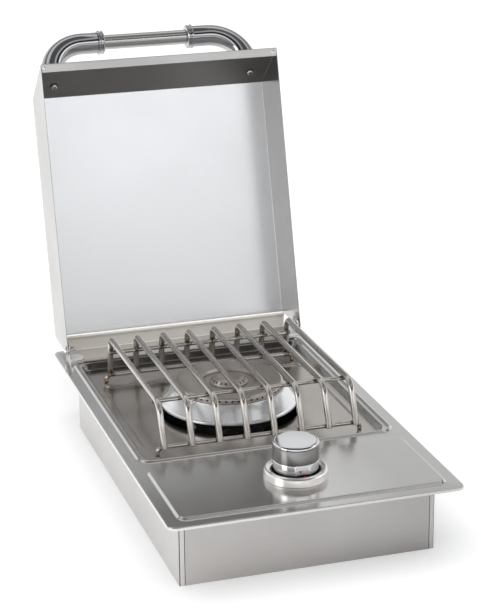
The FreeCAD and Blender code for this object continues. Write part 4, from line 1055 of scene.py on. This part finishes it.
def floorFinish():
    material, tree, shader = newTree("stageFloor")
    factor = spread(tree, noiseAt(tree, objectVector(tree), 3.0, 2.0), 0.0, 1.0)
    pale = studio["floorColour"]
    shadeOf(tree, shader, factor, [c * 0.99 for c in pale], pale)
    shader.inputs["Roughness"].default_value = 0.9
    shader.inputs["Specular IOR Level"].default_value = 0.0
    shader.inputs["Emission Color"].default_value = (1, 1, 1, 1)
    ray = nodeOn(tree, "LightPath", {})
    direct = mathOn(tree, "MULTIPLY", ray["Is Camera Ray"], studio["floorGlow"])
    mirrored = mathOn(tree, "MAXIMUM", ray["Is Glossy Ray"], ray["Is Transmission Ray"])
    across = partsOf(tree, objectVector(tree))[0]
    leftward = spread(tree, across, *studio["mirrorGlow"], *studio["mirrorStretch"])
    glow = mathOn(tree, "ADD", direct, mathOn(tree, "MULTIPLY", mirrored, leftward))
    beyond = mathOn(tree, "SUBTRACT", 1.0, paintedShadeInside(material))  # painted shade: dark floor with no glow under the box, so no pale floor is seen through it
    tree.links.new(mathOn(tree, "MULTIPLY", glow, beyond), shader.inputs["Emission Strength"])
    return material


def makeFloor():
    deselectAll()
    bpy.ops.mesh.primitive_plane_add(size=studio["floorSize"], location=(0, 0, 0))
    floor = bpy.context.object
    floor.name = "studioFloor"
    floor.data.materials.append(floorFinish())


def skyRamp(tree, height, bands):
    ramp = tree.nodes.new("ShaderNodeValToRGB")
    stops = ramp.color_ramp.elements
    for stop, (place, level) in ((stops[0], bands[0]), (stops[1], bands[-1])):
        stop.position, stop.color = place, (level, level, level, 1)
    for place, level in bands[1:-1]:
        stops.new(place).color = (level * 0.99, level, level * 1.01, 1)  # a trace of blue
    tree.links.new(height, ramp.inputs[0])
    return ramp.outputs[0]


def makeSky():
    world = bpy.data.worlds.new("studioSky")
    bpy.context.scene.world = world
    world.use_nodes = True
    tree = world.node_tree
    tree.nodes.clear()
    across, along, up = partsOf(tree, nodeOn(tree, "TexCoord", {})["Generated"])
    level = spread(tree, across, *studio["frontLevel"], *studio["frontStretch"])  # dimmer on the left
    front = nodeOn(tree, "VectorMath", {0: skyRamp(tree, up, skyFront), "Scale": level}, operation="SCALE")[0]
    toBack = spread(tree, along, 0.0, 1.0, -studio["skyBlend"], studio["skyBlend"])
    colour = blendColours(tree, toBack, front, skyRamp(tree, up, skyBack))
    sky = nodeOn(tree, "Background", {"Color": colour, "Strength": studio["skyStrength"]})[0]
    nodeOn(tree, "OutputWorld", {"Surface": sky})


lamps = {
    "softTop": {"kind": "SUN", "place": (-0.5, -0.6, 3.0), "aim": (0, 0, 0), "strength": 1.4, "spread": 60,
                "glossy": False},
    "leftSide": {"kind": "AREA", "place": (-2.4, -0.7, 0.9), "aim": (0, 0, 0.2), "strength": 8, "size": 1.2,
                 "glossy": True},
}


def makeLamps():
    for name, lamp in lamps.items():
        light = bpy.data.lights.new(name, lamp["kind"])
        light.energy = lamp["strength"]
        if lamp["kind"] == "SUN":
            light.angle = math.radians(lamp["spread"])
        else:
            light.shape, light.size = "SQUARE", lamp["size"]
        holder = bpy.data.objects.new(name, light)
        bpy.context.scene.collection.objects.link(holder)
        holder.location = lamp["place"]
        way = Vector(lamp["aim"]) - Vector(lamp["place"])
        holder.rotation_euler = way.to_track_quat("-Z", "Y").to_euler()
        holder.visible_glossy = lamp["glossy"]


photoCamera = {"place": (-0.62755, -2.00723, 0.93764), "turn": (71.2210, 0.5355, -17.4949), "lens": 114.294,
               "sensor": 36, "clip": (0.05, 60)}


def makeCamera():
    data = bpy.data.cameras.new("photoCamera")
    data.sensor_fit = "AUTO"
    data.sensor_width = photoCamera["sensor"]
    data.lens = photoCamera["lens"]
    data.clip_start, data.clip_end = photoCamera["clip"]
    camera = bpy.data.objects.new("photoCamera", data)
    bpy.context.scene.collection.objects.link(camera)
    camera.location = photoCamera["place"]
    camera.rotation_euler = [math.radians(a) for a in photoCamera["turn"]]
    bpy.context.scene.camera = camera


makeFloor()
makeSky()
makeLamps()
makeCamera()
bpy.context.scene.view_settings.view_transform = "Standard"
print("floor, light and camera ready")
